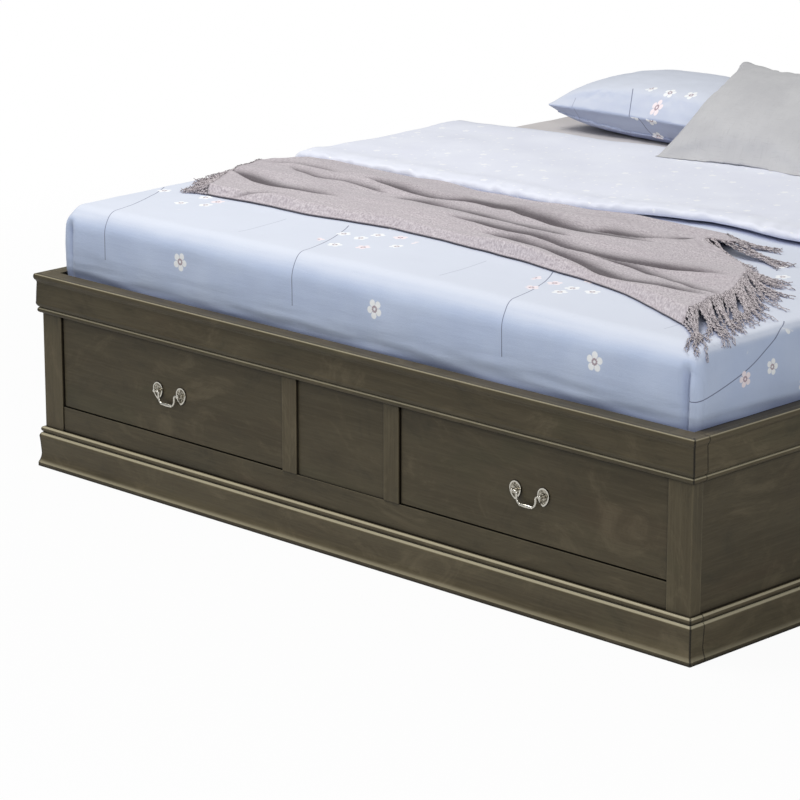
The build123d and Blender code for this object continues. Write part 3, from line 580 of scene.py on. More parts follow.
def blossom_group():
    """Petals, veins and hearts of five-petalled blossoms, one to a cell."""
    group, start, end = new_group(
        "blossoms",
        [("Cloth", "Vector"), ("Middle", "Vector"), ("Cell", "Vector"), ("Radius", "Float"),
         ("Share", "Float"), ("Wander", "Float")],
        [("Petals", "Float"), ("Hearts", "Float"), ("Veins", "Float"), ("Chance", "Float")],
    )
    local, corner = repeated(group, start["Cloth"], start["Middle"], start["Cell"])
    chance = node(group, "ShaderNodeTexWhiteNoise", {"Vector": corner}, noise_dimensions="3D").outputs
    stray = vectors(group, "SUBTRACT", chance["Color"], (0.5, 0.5, 0.5))
    stray = vectors(group, "MULTIPLY", stray, start["Wander"])
    local = vectors(group, "SUBTRACT", local, stray)
    axes = axes_of(group, local)
    flat = node(group, "ShaderNodeCombineXYZ", {0: axes["X"], 1: axes["Y"]}).outputs[0]
    share = sums(group, "DIVIDE", measured(group, "LENGTH", flat), start["Radius"])
    third = node(group, "ShaderNodeSeparateColor", {0: chance["Color"]}).outputs["Blue"]
    angle = sums(group, "ARCTAN2", axes["Y"], axes["X"])
    angle = sums(group, "MULTIPLY_ADD", third, 2 * math.pi, angle)
    lobe = sums(group, "ABSOLUTE", sums(group, "COSINE", sums(group, "MULTIPLY", angle, 2.5)))
    reach = sums(group, "MULTIPLY_ADD", sums(group, "POWER", lobe, 0.55), 0.5, 0.5)
    present = sums(group, "LESS_THAN", chance["Value"], start["Share"])
    petal = ramped(group, sums(group, "DIVIDE", share, reach), 1.0, 0.88)
    feed(group, end["Petals"], sums(group, "MULTIPLY", petal, present))
    ring = ramped(group, sums(group, "ABSOLUTE", sums(group, "SUBTRACT", share, 0.24)), 0.14, 0.06)
    stamens = sums(group, "ABSOLUTE", sums(group, "COSINE", sums(group, "MULTIPLY", angle, 5.0)))
    ring = sums(group, "MULTIPLY", ring, ramped(group, stamens, 0.1, 0.7, 0.45, 1.0))
    feed(group, end["Hearts"], sums(group, "MULTIPLY", ring, present))
    vein = sums(group, "MULTIPLY", ramped(group, lobe, 0.42, 0.12), petal)
    feed(group, end["Veins"], sums(group, "MULTIPLY", vein, present))
    feed(group, end["Chance"], third)
    return group


def sprig_group():
    """Thin bent stems, and how far each place is from the bunch at the stem's head."""
    group, start, end = new_group(
        "sprigs",
        [("Cloth", "Vector"), ("Middle", "Vector"), ("Cell", "Vector"), ("Root", "Vector"),
         ("Bunch", "Vector"), ("Bend", "Float"), ("Sweep", "Float")],
        [("Stems", "Float"), ("Away", "Float")],
    )
    local, _ = repeated(group, start["Cloth"], start["Middle"], start["Cell"])
    rooted = vectors(group, "SUBTRACT", local, start["Root"])
    axes = axes_of(group, rooted)
    out = sums(group, "ADD", axes["X"], start["Bend"])
    spot = node(group, "ShaderNodeCombineXYZ", {0: out, 1: axes["Y"]}).outputs[0]
    ring = sums(group, "SUBTRACT", measured(group, "LENGTH", spot), start["Bend"])
    line = ramped(group, sums(group, "ABSOLUTE", ring), 0.0016, 0.0007)
    sweep = sums(group, "ARCTAN2", axes["Y"], out)
    begun = sums(group, "GREATER_THAN", sweep, 0.0)
    ended = sums(group, "LESS_THAN", sweep, start["Sweep"])
    feed(group, end["Stems"], sums(group, "MULTIPLY", line, sums(group, "MULTIPLY", begun, ended)))
    away = measured(group, "DISTANCE", local, start["Bunch"])
    feed(group, end["Away"], away)
    return group


BLOSSOMS = blossom_group()
SPRIGS = sprig_group()
print("print groups ready")

# %% [markdown]
# The cottons share one recipe: a ground that is a little cloudy, a weave that only shows close by,
# fine crumples that run across the bed, and a soft sheen. The prints are laid over the ground, and
# the comforter's pale reverse gets specks like tiny blossoms.


# %% Cottons
def cotton(name, ground, cloud, rough, threads=900.0):
    """A plain cotton: its tree, shader, cloth places and ground colour, ready for a print."""
    material, tree, shader = new_material(name)
    cloth = cloth_places(tree)
    weave = placed_group(tree, WEAVE, Cloth=cloth, Threads=threads)
    colour = mixed(tree, ramped(tree, weave["Cloud"], 0.3, 0.7), ground, cloud)
    feed(tree, shader.inputs["Roughness"], ramped(tree, weave["Cloud"], 0.3, 0.7, rough, rough + 0.08))
    shader.inputs["Specular IOR Level"].default_value = 0.25
    shader.inputs["Sheen Weight"].default_value = 0.15
    crumple = stretched(tree, cloth, (9.0, 70.0, 1.0), 3.0, 0.6, 0.4)
    bumped(tree, shader, sums(tree, "MULTIPLY_ADD", crumple, 3.0, weave["Height"]), 0.35, 0.0006)
    return material, tree, shader, cloth, colour


print_repeat = (0.64, 1.28, 1.0)
lone_middle = (0.075, -1.083, 0)
sprig_middle = (-0.185, -0.86, 0)
sprigs = [
    (0.9, {"Root": (-0.002, -0.261, 0), "Bunch": (0.0, 0.089, 0), "Bend": 0.71, "Sweep": 0.62}),
    (0.4, {"Root": (-0.270, -0.070, 0), "Bunch": (0.255, 0.469, 0), "Bend": 0.7, "Sweep": 0.25}),
]
bunch_radius = 0.125


def printed_cotton(name, ground, cloud, shift):
    """Blue cotton with a painted highlight that pales it where it faces up, painted shade in its nooks,
    white blossoms and dark stems.
    """
    material, tree, shader, cloth, colour = cotton(name, ground, cloud, 0.72)
    nook_shade = placed_group(tree, EDGES, Crevice_Width=0.03)["Crevices"]
    # Painted highlight on cloth that faces up, and painted shade in nooks, found by ambient occlusion.
    colour = layered(tree, colour, [
        (ramped(tree, upward_facing(tree), 0.25, 0.97, 0.0, 0.9), paint(219, 224, 237)),
        (sums(tree, "MULTIPLY", nook_shade, 0.6), paint(96, 108, 158)),
    ])
    cloth = vectors(tree, "ADD", cloth, shift)
    in_bunch = 0.0
    for ink, sprig in sprigs:
        drawn = placed_group(tree, SPRIGS, Cloth=cloth, Middle=sprig_middle, Cell=print_repeat, **sprig)
        colour = mixed(tree, sums(tree, "MULTIPLY", drawn["Stems"], ink), colour, paint(104, 110, 138))
        near = ramped(tree, drawn["Away"], bunch_radius, bunch_radius - 0.01)
        in_bunch = sums(tree, "MAXIMUM", in_bunch, near)
    lone = placed_group(
        tree, BLOSSOMS, Cloth=cloth, Middle=lone_middle, Cell=print_repeat, Radius=0.0235, Share=1.0
    )
    bunch = placed_group(
        tree, BLOSSOMS, Cloth=cloth, Cell=(0.066, 0.066, 1.0), Radius=0.019, Share=0.75, Wander=0.026
    )
    blush = ramped(tree, bunch["Chance"], 0.72, 0.78)
    bloom = mixed(tree, blush, paint(250, 252, 255), paint(250, 238, 243))
    colour = mixed(tree, sums(tree, "MULTIPLY", bunch["Petals"], in_bunch), colour, bloom)
    colour = mixed(tree, lone["Petals"], colour, paint(250, 252, 255))
    for flower, shown in ((lone, 1.0), (bunch, in_bunch)):
        veins = sums(tree, "MULTIPLY", sums(tree, "MULTIPLY", flower["Veins"], 0.5), shown)
        colour = mixed(tree, veins, colour, paint(190, 194, 214))
        hearts = sums(tree, "MULTIPLY", flower["Hearts"], shown)
        colour = mixed(tree, hearts, colour, paint(164, 142, 154))
    tree.links.new(colour, shader.inputs["Base Color"])
    return material


def specked_cotton():
    """The comforter's pale reverse, with specks like tiny white blossoms."""
    material, tree, shader, cloth, colour = cotton(
        "foldback_cotton", paint(228, 231, 245), paint(233, 236, 248), 0.74
    )
    for cell, radius, share in ((0.041, 0.0045, 0.5), (0.083, 0.0105, 0.35)):
        specks = placed_group(
            tree, BLOSSOMS, Cloth=cloth, Cell=(cell, cell, 1.0), Radius=radius, Share=share,
            Wander=cell * 0.7,
        )
        colour = mixed(tree, sums(tree, "MULTIPLY", specks["Petals"], 0.7), colour, paint(250, 251, 255))
    tree.links.new(colour, shader.inputs["Base Color"])
    return material


def sheet_cotton():
    """The grey fitted sheet."""
    material, tree, shader, _, colour = cotton(
        "sheet_cotton", paint(205, 200, 200), paint(212, 207, 207), 0.78
    )
    tree.links.new(colour, shader.inputs["Base Color"])
    return material


PRINTED = printed_cotton("comforter_cotton", paint(189, 203, 232), paint(197, 210, 236), (0, 0, 0))
# The pillow cases take a darker copy of the ground: painted shade for the dimmer light at the head of the
# bed.
PILLOWCASE_SHADED = printed_cotton("pillow_cotton_shaded", paint(178, 189, 218), paint(187, 198, 224), (0.29, -0.06, 0))
SPECKED = specked_cotton()
SHEET = sheet_cotton()
print("cottons ready")

# %% [markdown]
# ## Making soft blocks
# The mattress and the comforter start as a box that is cut into a fine grid, one direction of
# edges at a time. The faces that cloth doesn't cover are removed, each face gets its place on the
# flat cloth, and only then is every corner point moved to the rounded, wrinkled surface.


# %% Block helpers
def clamp(value, low, high):
    return max(low, min(high, value))


def smooth(value, start, end):
    """0 before start and 1 after end, with a soft step between."""
    share = clamp((value - start) / (end - start), 0, 1)
    return share * share * (3 - 2 * share)


def grid_block(low, high, cuts):
    """A box whose edges along X, Y and Z are cut into a grid."""
    block = bmesh.new()
    middle = (low + high) / 2
    size = Matrix.Diagonal((*(high - low), 1))
    bmesh.ops.create_cube(block, size=1, matrix=Matrix.Translation(middle) @ size)
    for axis, count in enumerate(cuts):
        edges = [
            edge for edge in block.edges
            if abs((edge.verts[0].co - edge.verts[1].co).normalized()[axis]) > 0.9
        ]
        bmesh.ops.subdivide_edges(block, edges=edges, cuts=count, use_grid_fill=True)
    return block


def flat_grid(across, along):
    """A flat sheet from 0 to 1 both ways, cut into cells, with an empty cloth map."""
    sheet = bmesh.new()
    bmesh.ops.create_grid(sheet, x_segments=across, y_segments=along, size=0.5)
    bmesh.ops.translate(sheet, verts=sheet.verts, vec=(0.5, 0.5, 0))
    sheet.loops.layers.uv.new(CLOTH_MAP)
    return sheet


def unroll(block, top):
    """Gives each face its place on the flat cloth: sides and ends fold up round the top."""
    layer = block.loops.layers.uv.new(CLOTH_MAP)
    block.normal_update()
    for face in block.faces:
        facing = face.normal
        for loop in face.loops:
            x, y, z = loop.vert.co
            drop = top - z
            if abs(facing.x) > 0.7:
                x += math.copysign(drop, facing.x)
            elif abs(facing.y) > 0.7:
                y += math.copysign(drop, facing.y)
            loop[layer].uv = (x, y)


def remove_faces(block, unwanted):
    """Deletes the faces that a test of their direction picks out."""
    block.normal_update()
    faces = [face for face in block.faces if unwanted(face.normal)]
    bmesh.ops.delete(block, geom=faces, context="FACES")


def soft_piece(name, block, material, slot, *replaced):
    """Turns a bmesh into a smooth piece that rides on the bed and stands for its CAD solids."""
    bmesh.ops.recalc_face_normals(block, faces=block.faces)
    for face in block.faces:
        face.smooth = True
    piece = bpy.data.objects.new(name, bpy.data.meshes.new(name))
    block.to_mesh(piece.data)
    block.free()
    piece.data.materials.append(material)
    scene.collection.objects.link(piece)
    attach(piece, "bed_frame")
    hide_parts(*replaced)
    print(name, len(piece.data.vertices), "points")
    return piece


def thicken(piece, thickness, offset=-1.0):
    """Gives a cloth its thickness with a Solidify modifier."""
    wall = piece.modifiers.new("thickness", "SOLIDIFY")
    wall.thickness = thickness
    wall.offset = offset


# %% [markdown]
# ## Mattress in its fitted sheet
# A thick mattress shows as a grey fitted sheet between the turned-back comforter and the pillows.
# The cloth is stretched over round edges, so it has only shallow ripples, deepest near the corners
# where the elastic gathers it.

# %% Mattress
mattress_low, mattress_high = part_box("mattress")
mattress_round = 0.030
sheet_inset = 0.003
mattress_block = grid_block(mattress_low, mattress_high, (110, 115, 14))
unroll(mattress_block, mattress_high.z)
for vert in mattress_block.verts:
    inset = Vector((mattress_round,) * 3)
    core = Vector(map(clamp, vert.co, mattress_low + inset, mattress_high - inset))
    outward = (vert.co - core).normalized()
    ripple = noise.noise(vert.co * 5.0) * 0.0018 + noise.noise(vert.co * 17.0) * 0.0007
    gather = smooth(vert.co.y, mattress_high.y - 0.30, mattress_high.y)
    ripple += noise.noise(Vector((vert.co.x * 34, vert.co.y * 6, vert.co.z * 6))) * 0.0018 * gather
    vert.co = core + outward * (mattress_round - sheet_inset + ripple)
mattress = soft_piece("mattress_in_sheet", mattress_block, SHEET, "sheet_cotton", "mattress")

# %% [markdown]
# ## Comforter
# The comforter covers the foot end and both sides of the mattress and is tucked down inside the
# frame. One function says where any point of the flat box lies on it: a soft round shoulder at the
# foot, crisper edges at the sides, a swelling belly, a slight crown, and wrinkles that follow the
# pull of the tuck. The throw and the turned-back end use the same function, so that they lie on
# the comforter exactly.

# %% How the comforter lies
quilt_low, quilt_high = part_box("comforter")
quilt_swell = 0.012
quilt_crown = 0.008
quilt_shoulder = 0.050
quilt_corner = 0.020
quilt_half = quilt_high.x - quilt_swell
quilt_foot = quilt_low.y + quilt_swell / 2
quilt_head = quilt_high.y
quilt_top = quilt_high.z - quilt_crown
quilt_hem = quilt_low.z
crease_place = 0.021
crease_width = 0.010


def quilt_wrinkles(flat):
    """How far the cloth stands out or in at a point of the flat box."""
    lift = noise.noise(flat * 2.6) * 0.004 + noise.noise(flat * 7.3) * 0.0024
    lift += noise.noise(flat * 19) * 0.0008
    tucked = 1 - smooth(flat.z, quilt_hem + 0.03, quilt_hem + 0.12)
    lift += noise.noise(Vector((flat.x * 6, flat.y * 6, flat.z * 60))) * 0.0036 * tucked
    hanging = 1 - smooth(flat.z, quilt_top - 0.06, quilt_top)
    lift += noise.noise(Vector((flat.x * 9, flat.y * 9, flat.z * 8 + 5))) * 0.0030 * hanging
    if flat.y < quilt_foot + 0.001:
        from_corner = quilt_half - abs(flat.x)
        fold = math.exp(-(((from_corner - crease_place) / crease_width) ** 2))
        depth = smooth(flat.z, quilt_top - 0.02, quilt_top - 0.06)
        lift -= (0.006 + 0.008 * smooth(flat.z, quilt_hem, quilt_top - 0.08)) * fold * depth
    return lift


def foot_shoulder(flat):
    """The place on the rounded foot end, its direction out, and the depth below the cloth."""
    ahead = max(0, quilt_foot + quilt_shoulder - flat.y)
    above = max(0, flat.z - quilt_top + quilt_shoulder)
    depth = min(flat.y - quilt_foot, quilt_top - flat.z)
    if ahead and above:
        facing = Vector((0, -ahead, above)).normalized()
        middle = Vector((0, quilt_foot + quilt_shoulder, quilt_top - quilt_shoulder))
        return middle + facing * max(ahead, above), facing, depth
    facing = Vector((0, 0, 1)) if quilt_top - flat.z < flat.y - quilt_foot else Vector((0, -1, 0))
    return Vector((0, flat.y, flat.z)), facing, depth


def on_quilt(flat):
    """Where a point of the flat box lies on the comforter, and which way is out."""
    place, facing, depth = foot_shoulder(flat)
    inward = max(0, quilt_corner - depth)
    side = clamp(flat.x, quilt_corner - quilt_half, quilt_half - quilt_corner)
    core = place - facing * inward + Vector((side, 0, 0))
    outward = (Vector((flat.x - side, 0, 0)) + facing * inward).normalized()
    point = core + outward * (quilt_corner + quilt_wrinkles(flat))
    upright = clamp((flat.z - quilt_hem) / (quilt_top - quilt_hem), 0, 1)
    belly = quilt_swell * 4 * upright * (1 - upright)
    point += Vector((outward.x, outward.y / 2, 0)) * belly
    point.z += quilt_crown * (1 - (flat.x / quilt_half) ** 2) * outward.z
    return point, outward


def on_flat_cloth(across, along):
    """The same, from a place on the flat cloth; past the bed's edges the cloth hangs down."""
    over = max(0, abs(across) - quilt_half, quilt_foot - along)
    side = clamp(across, -quilt_half, quilt_half)
    return on_quilt(Vector((side, max(along, quilt_foot), quilt_top - over)))


# %% [markdown]
# The comforter itself is the box, cut finely where it bends: the cuts across crowd towards the
# sides, and the cuts along towards the foot, before the cloth is unrolled and laid. Its head edge
# isn't straight: it follows the turned-back end, which was pulled further down on the left.

# %% Comforter
foot_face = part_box("footboard_post_left")[0].y
head_tuck = 0.03
head_line = [(-1.0, 1.405), (-0.65, 1.44), (-0.40, 1.465), (0.07, 1.535), (1.0, 1.55)]


def along_curve(points, x):
    """A smooth curve through a few points, each given as x and y, read at one x."""
    x = clamp(x, points[0][0], points[-1][0])
    index = next((i for i in range(1, len(points) - 1) if x < points[i][0]), len(points) - 1)
    before, start = points[max(0, index - 2)], points[index - 1]
    end, after = points[index], points[min(len(points) - 1, index + 1)]
    span = end[0] - start[0]
    share = (x - start[0]) / span
    leave = (end[1] - before[1]) / (end[0] - before[0]) * span
    arrive = (after[1] - start[1]) / (after[0] - start[0]) * span
    rise = end[1] - start[1]
    cubic = (leave + arrive - 2 * rise) * share**3 + (3 * rise - 2 * leave - arrive) * share**2
    return start[1] + leave * share + cubic


quilt_low_corner = Vector((-quilt_half, quilt_foot, quilt_hem))
quilt_high_corner = Vector((quilt_half, quilt_head, quilt_top))
quilt_block = grid_block(quilt_low_corner, quilt_high_corner, (190, 130, 30))
remove_faces(quilt_block, lambda facing: facing.z < -0.7 or facing.y > 0.7)
for vert in quilt_block.verts:
    share = vert.co.x / quilt_half
    vert.co.x = quilt_half * share * (1.35 - 0.35 * share**2)
    share = (vert.co.y - quilt_foot) / (quilt_head - quilt_foot)
    length = foot_face + along_curve(head_line, vert.co.x) - head_tuck - quilt_foot
    vert.co.y = quilt_foot + length * share * (0.65 + 0.35 * share)
unroll(quilt_block, quilt_top)
for vert in quilt_block.verts:
    vert.co = on_quilt(vert.co)[0]
comforter = soft_piece("comforter_cover", quilt_block, PRINTED, "comforter_cotton", "comforter")
thicken(comforter, 0.008)

# %% [markdown]
# The comforter's right foot corner is folded like an envelope: cloth from the side wraps round the
# corner and ends in a free edge on the front. That flap is a narrow strip of cloth. Its rear and
# upper edges sink into the comforter, so only the free edge shows, and the print runs on over it.


# %% Corner fold of the comforter
flap_behind = 0.060
flap_ahead = 0.014
flap_below_top = 0.034
flap_rise = 0.0065
flap_sink = 0.0035
flap_height = quilt_top - flap_below_top - quilt_hem


def corner_fold(name, sign):
    """A strip that runs from the side of the bed, round the foot corner, to a free edge."""
    strip = flat_grid(24, 26)
    layer = strip.loops.layers.uv.verify()
    for vert in strip.verts:
        turn, height = vert.co.x, vert.co.y
        reach = turn * (flap_behind + flap_ahead) - flap_behind
        z = quilt_hem + height * flap_height
        flat = Vector((sign * (quilt_half - max(0, reach)), quilt_foot + max(0, -reach), z))
        point, outward = on_quilt(flat)
        free = smooth(turn, 0.45, 0.85) * (1 - smooth(height, 0.72, 0.98))
        vert.co = point + outward * (flap_rise * free - flap_sink)
        for loop in vert.link_loops:
            loop[layer].uv = (sign * (quilt_half + quilt_top - z), quilt_foot - reach)
    piece = soft_piece(name, strip, PRINTED, "comforter_cotton")
    thicken(piece, 0.002)
    return piece


flap = corner_fold("comforter_corner_right", 1)

# %% [markdown]
# ## Turned-back end
# The head end of the comforter is turned back, so its pale reverse shows. Its section is a long
# flat run with a soft rolled edge at both ends. The near edge is gathered by its own stitching:
# short wrinkles run into it and fade out a hand's width away.

# %% Turned-back end
turned_half = quilt_half + quilt_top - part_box("comforter_foldback")[0].z
turned_near = 0.815
turned_step = 0.10
turned_gap = 0.002
roll = 0.009
edge_lift = 0.007
roll_share = 0.16
under_share = 0.06
far_share = 0.92
under_length = 0.035


def turned_section(share, near, far):
    """Place along the bed and height above the comforter, from the hidden edge to the far roll."""
    if share < under_share:
        return near + roll + under_length * (1 - share / under_share), turned_gap
    if share < under_share + roll_share:
        turn = math.pi * (share - under_share) / roll_share
        return near + roll - roll * math.sin(turn), turned_gap + roll - roll * math.cos(turn)
    flat_start = under_share + roll_share
    if share < far_share:
        part = (share - flat_start) / (far_share - flat_start)
        part = part * (0.45 + 0.55 * part)
        return near + roll + part * (far - near - 2 * roll), turned_gap + 2 * roll
    turn = math.pi * (share - far_share) / (1 - far_share) / 2
    drop = 2 * roll + quilt_top - mattress_high.z
    return far - roll + roll * math.sin(turn), turned_gap + 2 * roll - drop * (1 - math.cos(turn))


def turned_puff(across, along, behind, before):
    """Soft relief of the turned-back end: gathers at the near edge, swellings and slow waves."""
    reach = math.exp(-behind / 0.060)
    gathers = noise.noise(Vector((across * 30 + along * 12, along * 9, 8))) * 0.0070 * reach
    gathers += noise.noise(Vector((across * 55 - along * 20, along * 14, 4))) * 0.0026 * reach
    swelling = 0.006 * math.exp(-(((behind - 0.045) / 0.04) ** 2))
    swelling += 0.005 * math.exp(-(((before - 0.06) / 0.06) ** 2))
    return gathers + swelling + noise.noise(Vector((across * 4, along * 5, 1))) * 0.005


turned = flat_grid(360, 64)
layer = turned.loops.layers.uv.verify()
for vert in turned.verts:
    share = vert.co.y
    across = (2 * vert.co.x - 1) * turned_half
    near = foot_face + turned_near + turned_step * smooth(across, -0.10, 0.30)
    far = foot_face + along_curve(head_line, across)
    near += noise.noise(Vector((across * 5, 2, 0))) * 0.008
    near += noise.noise(Vector((across * 19, 6, 0))) * 0.003
    along, height = turned_section(share, near, far)
    point, outward = on_flat_cloth(across, along)
    relief = turned_puff(across, along, max(0, along - near), max(0, far - along))
    relief *= smooth(height, 0.004, 2 * roll)
    relief += edge_lift * smooth(across, -0.15, 0.25) * math.exp(-max(0, along - near) / 0.05)
    vert.co = point + outward * (height + relief)
    for loop in vert.link_loops:
        loop[layer].uv = (across, along + height)
foldback = soft_piece("comforter_turned_back", turned, SPECKED, "foldback_cotton", "comforter_foldback")
thicken(foldback, 0.004)

# %% [markdown]
# ## Throw
# A soft knitted throw lies across the bed in long gathered folds and spreads out at its right-hand
# end. It is one sheet: a grid laid between a near and a far edge that were picked off the picture.
# Between the edges it is puffed up, and it sinks along a few fold lines, each a curve through some
# points of its own, with its own depth, that fades out at both ends. In front of a line the cloth
# drops steeply, and behind it rises slowly, so the folds are rounded and lean towards the foot. Each
# point keeps how deep it lies in a fold, and the finish is darker there, where little light comes.


# %% Knitted throw finish
def throw_knit():
    material, tree, shader = new_material("throw_knit")
    cloth = cloth_places(tree)
    weave = placed_group(tree, WEAVE, Cloth=cloth, Threads=420.0)
    heather = noisy(tree, cloth, 170.0, 5.0, 0.75)
    streak = stretched(tree, cloth, (50.0, 240.0, 1.0), 3.0, 0.6)
    # Painted shade: darker deep in the fold lines, from the creases attribute, and in crevices found by
    # ambient occlusion.
    creases = node(tree, "ShaderNodeAttribute", attribute_name="creases").outputs["Fac"]
    valley_shade = placed_group(tree, EDGES, Crevice_Width=0.02)["Crevices"]
    colour = layered(tree, paint(162, 152, 160), [
        (ramped(tree, heather, 0.34, 0.66), paint(214, 207, 212)),
        (ramped(tree, streak, 0.45, 0.75, 0.0, 0.5), paint(226, 219, 222)),
        (ramped(tree, weave["Cloud"], 0.35, 0.7, 0.0, 0.25), paint(176, 166, 173)),
        (ramped(tree, creases, 0.10, 0.48, 0.0, 0.85), paint(62, 53, 60)),
        (sums(tree, "MULTIPLY", valley_shade, 0.8), paint(66, 57, 64)),
    ])
    tree.links.new(colour, shader.inputs["Base Color"])
    feed(tree, shader.inputs["Roughness"], ramped(tree, heather, 0.3, 0.7, 0.84, 0.95))
    shader.inputs["Specular IOR Level"].default_value = 0.15
    shader.inputs["Sheen Weight"].default_value = 0.3
    fuzz = sums(tree, "MULTIPLY_ADD", heather, 1.5, weave["Height"])
    bumped(tree, shader, fuzz, 0.6, 0.0012)
    return material


THROW = throw_knit()
print("throw finish ready")

# %% [markdown]
# The two edges of the throw are curves through a few points, measured from the foot of the bed.
# A share of the throw's length and a share of its width give a place on the comforter and a height
# above it, and the fringe asks the same function where the hem is.

# %% How the throw lies
throw_near = [(-0.81, 0.355), (-0.47, 0.355), (-0.20, 0.38), (0.20, 0.345), (0.50, 0.305), (0.84, 0.17)]
throw_far = [(-0.955, 0.68), (-0.87, 0.785), (-0.65, 0.80), (-0.10, 0.78), (0.445, 0.82)]
left_hem = [(0, -0.81), (0.33, -0.865), (1, -0.955)]
right_hem = [
    (0, 0.84), (0.40, 0.765), (0.60, 0.69), (0.70, 0.61), (0.79, 0.47), (0.86, 0.53), (0.93, 0.46),
    (1, 0.445),
]
fold_lines = [
    (1.0, [(-0.87, 0.50), (-0.79, 0.48), (-0.70, 0.46), (-0.61, 0.46), (-0.51, 0.47)]),
    (0.6, [(-0.83, 0.65), (-0.70, 0.61), (-0.59, 0.61), (-0.46, 0.60)]),
    (0.5, [(-0.92, 0.66), (-0.84, 0.68), (-0.68, 0.67)]),
    (0.9, [(-0.55, 0.66), (-0.32, 0.63), (-0.20, 0.65), (-0.11, 0.64)]),
    (1.0, [(-0.28, 0.65), (-0.15, 0.66), (0.01, 0.63), (0.15, 0.61), (0.34, 0.62)]),
    (1.0, [(-0.38, 0.58), (-0.26, 0.57), (-0.04, 0.55), (0.17, 0.53)]),
    (1.0, [(-0.10, 0.48), (0.14, 0.48), (0.29, 0.45), (0.46, 0.46), (0.67, 0.48)]),
    (1.0, [(0.05, 0.44), (0.20, 0.41), (0.35, 0.38), (0.51, 0.33), (0.76, 0.31)]),
    (0.8, [(0.18, 0.64), (0.35, 0.66), (0.48, 0.71)]),
    (0.6, [(0.36, 0.44), (0.48, 0.43), (0.69, 0.37), (0.80, 0.34)]),
    (0.4, [(-0.73, 0.35), (-0.65, 0.38), (-0.56, 0.41)]),
]
fold_fade = 0.08
fold_drop = 0.006
fold_rise = 0.016
fold_reach = 0.055
throw_loft = 0.025
throw_gap = 0.004
least_gap = 0.002
curl_height = 0.016


def between(start, end, share):
    return start + (end - start) * share


def in_fold(across, along):
    """How deep a point of the throw lies in the nearest fold line: 1 at its bottom, 0 far away."""
    deepest = 0
    for depth, line in fold_lines:
        first, last = line[0][0], line[-1][0]
        ends = smooth(across, first - fold_fade, first + fold_fade)
        ends *= 1 - smooth(across, last - fold_fade, last + fold_fade)
        behind = along - along_curve(line, across)
        if behind < 0:
            section = math.exp(behind / fold_drop)
        else:
            section = 0.7 * math.exp(-behind / fold_rise) + 0.3 * math.exp(-behind / fold_reach)
        deepest = max(deepest, depth * ends * section)
    return deepest


def throw_place(run, width):
    """Place on the flat comforter and height above it, for shares of the throw's length and width."""
    across = between(along_curve(left_hem, width), along_curve(right_hem, width), run)
    near = along_curve(throw_near, between(throw_near[0][0], throw_near[-1][0], run))
    far = along_curve(throw_far, between(throw_far[0][0], throw_far[-1][0], run))
    along = between(near, far, width)
    along += noise.noise(Vector((across * 7, along * 9, 3))) * 0.006
    inside = smooth(width, 0, 0.05) * (1 - smooth(width, 0.95, 1))
    uneven = 0.85 + 0.5 * noise.noise(Vector((across * 3, along * 11, 5)))
    height = throw_gap + throw_loft * uneven * (1 - in_fold(across, along)) * inside
    height += noise.noise(Vector((across * 8, along * 42, 11))) * 0.0030 * inside
    height += curl_height * smooth(run, 0.90, 1) * math.exp(-(((width - 0.84) / 0.08) ** 2))
    return across, foot_face + along, max(least_gap, height)


# %% [markdown]
# The throw is laid point by point. Its flat size is a width and a length that were chosen so that
# their area is close to that of the finished cloth, which is printed here.

# %% Throw
throw_flat = (0.52, 1.58)
throw_sheet = flat_grid(200, 140)
creases = throw_sheet.verts.layers.float.new("creases")
layer = throw_sheet.loops.layers.uv.verify()
for vert in throw_sheet.verts:
    run, width = vert.co.x, vert.co.y
    across, along, height = throw_place(run, width)
    point, outward = on_flat_cloth(across, along)
    vert.co = point + outward * height
    vert[creases] = in_fold(across, along - foot_face)
    for loop in vert.link_loops:
        loop[layer].uv = (run * throw_flat[1], width * throw_flat[0])
throw = soft_piece("throw_cloth", throw_sheet, THROW, "throw_knit", "throw_blanket")
print("cloth area", round(sum(face.area for face in throw.data.polygons), 3))
thicken(throw, 0.004, offset=0.0)

# %% [markdown]
# ## Fringe
# Both ends of the throw finish in twisted tassels. A tassel is two yarns wound round each other:
# each yarn is a thin curve that follows a path over the comforter and circles it as it goes.
# Curves with a round bevel are the quickest way to make some hundred yarns, and they become one
# mesh at the end. The tassels are drawn together in loose clumps, as yarn does.


# %% Yarn of the fringe
def fringe_yarn():
    material, tree, shader = new_material("fringe_yarn")
    place = object_places(tree)
    ply = noisy(tree, place, 300.0, 3.0, 0.7)
    tuft = noisy(tree, place, 90.0, 2.0)
    colour = mixed(tree, ramped(tree, ply, 0.35, 0.65), paint(84, 75, 82), paint(222, 213, 217))
    colour = mixed(tree, ramped(tree, tuft, 0.5, 0.7, 0.0, 0.4), colour, paint(232, 225, 226))
    tree.links.new(colour, shader.inputs["Base Color"])
    feed(tree, shader.inputs["Roughness"], ramped(tree, ply, 0.3, 0.7, 0.85, 0.95))
    shader.inputs["Specular IOR Level"].default_value = 0.15
    shader.inputs["Sheen Weight"].default_value = 0.3
    bumped(tree, shader, ply, 0.5, 0.0006)
    return material


YARN = fringe_yarn()


# %% Fringe
def tassel_path(across, along, height, angle, length, bend, steps):
    """Points and directions of a tassel that starts at the hem and lies on the comforter."""
    path = []
    for step in range(steps + 1):
        share = step / steps
        point, outward = on_flat_cloth(across, along)
        rest = 0.0035 + (height - 0.0035) * (1 - share) ** 2
        path.append((point + outward * rest, outward))
        across += math.cos(angle + bend * share) * length / steps
        along += math.sin(angle + bend * share) * length / steps
    return path


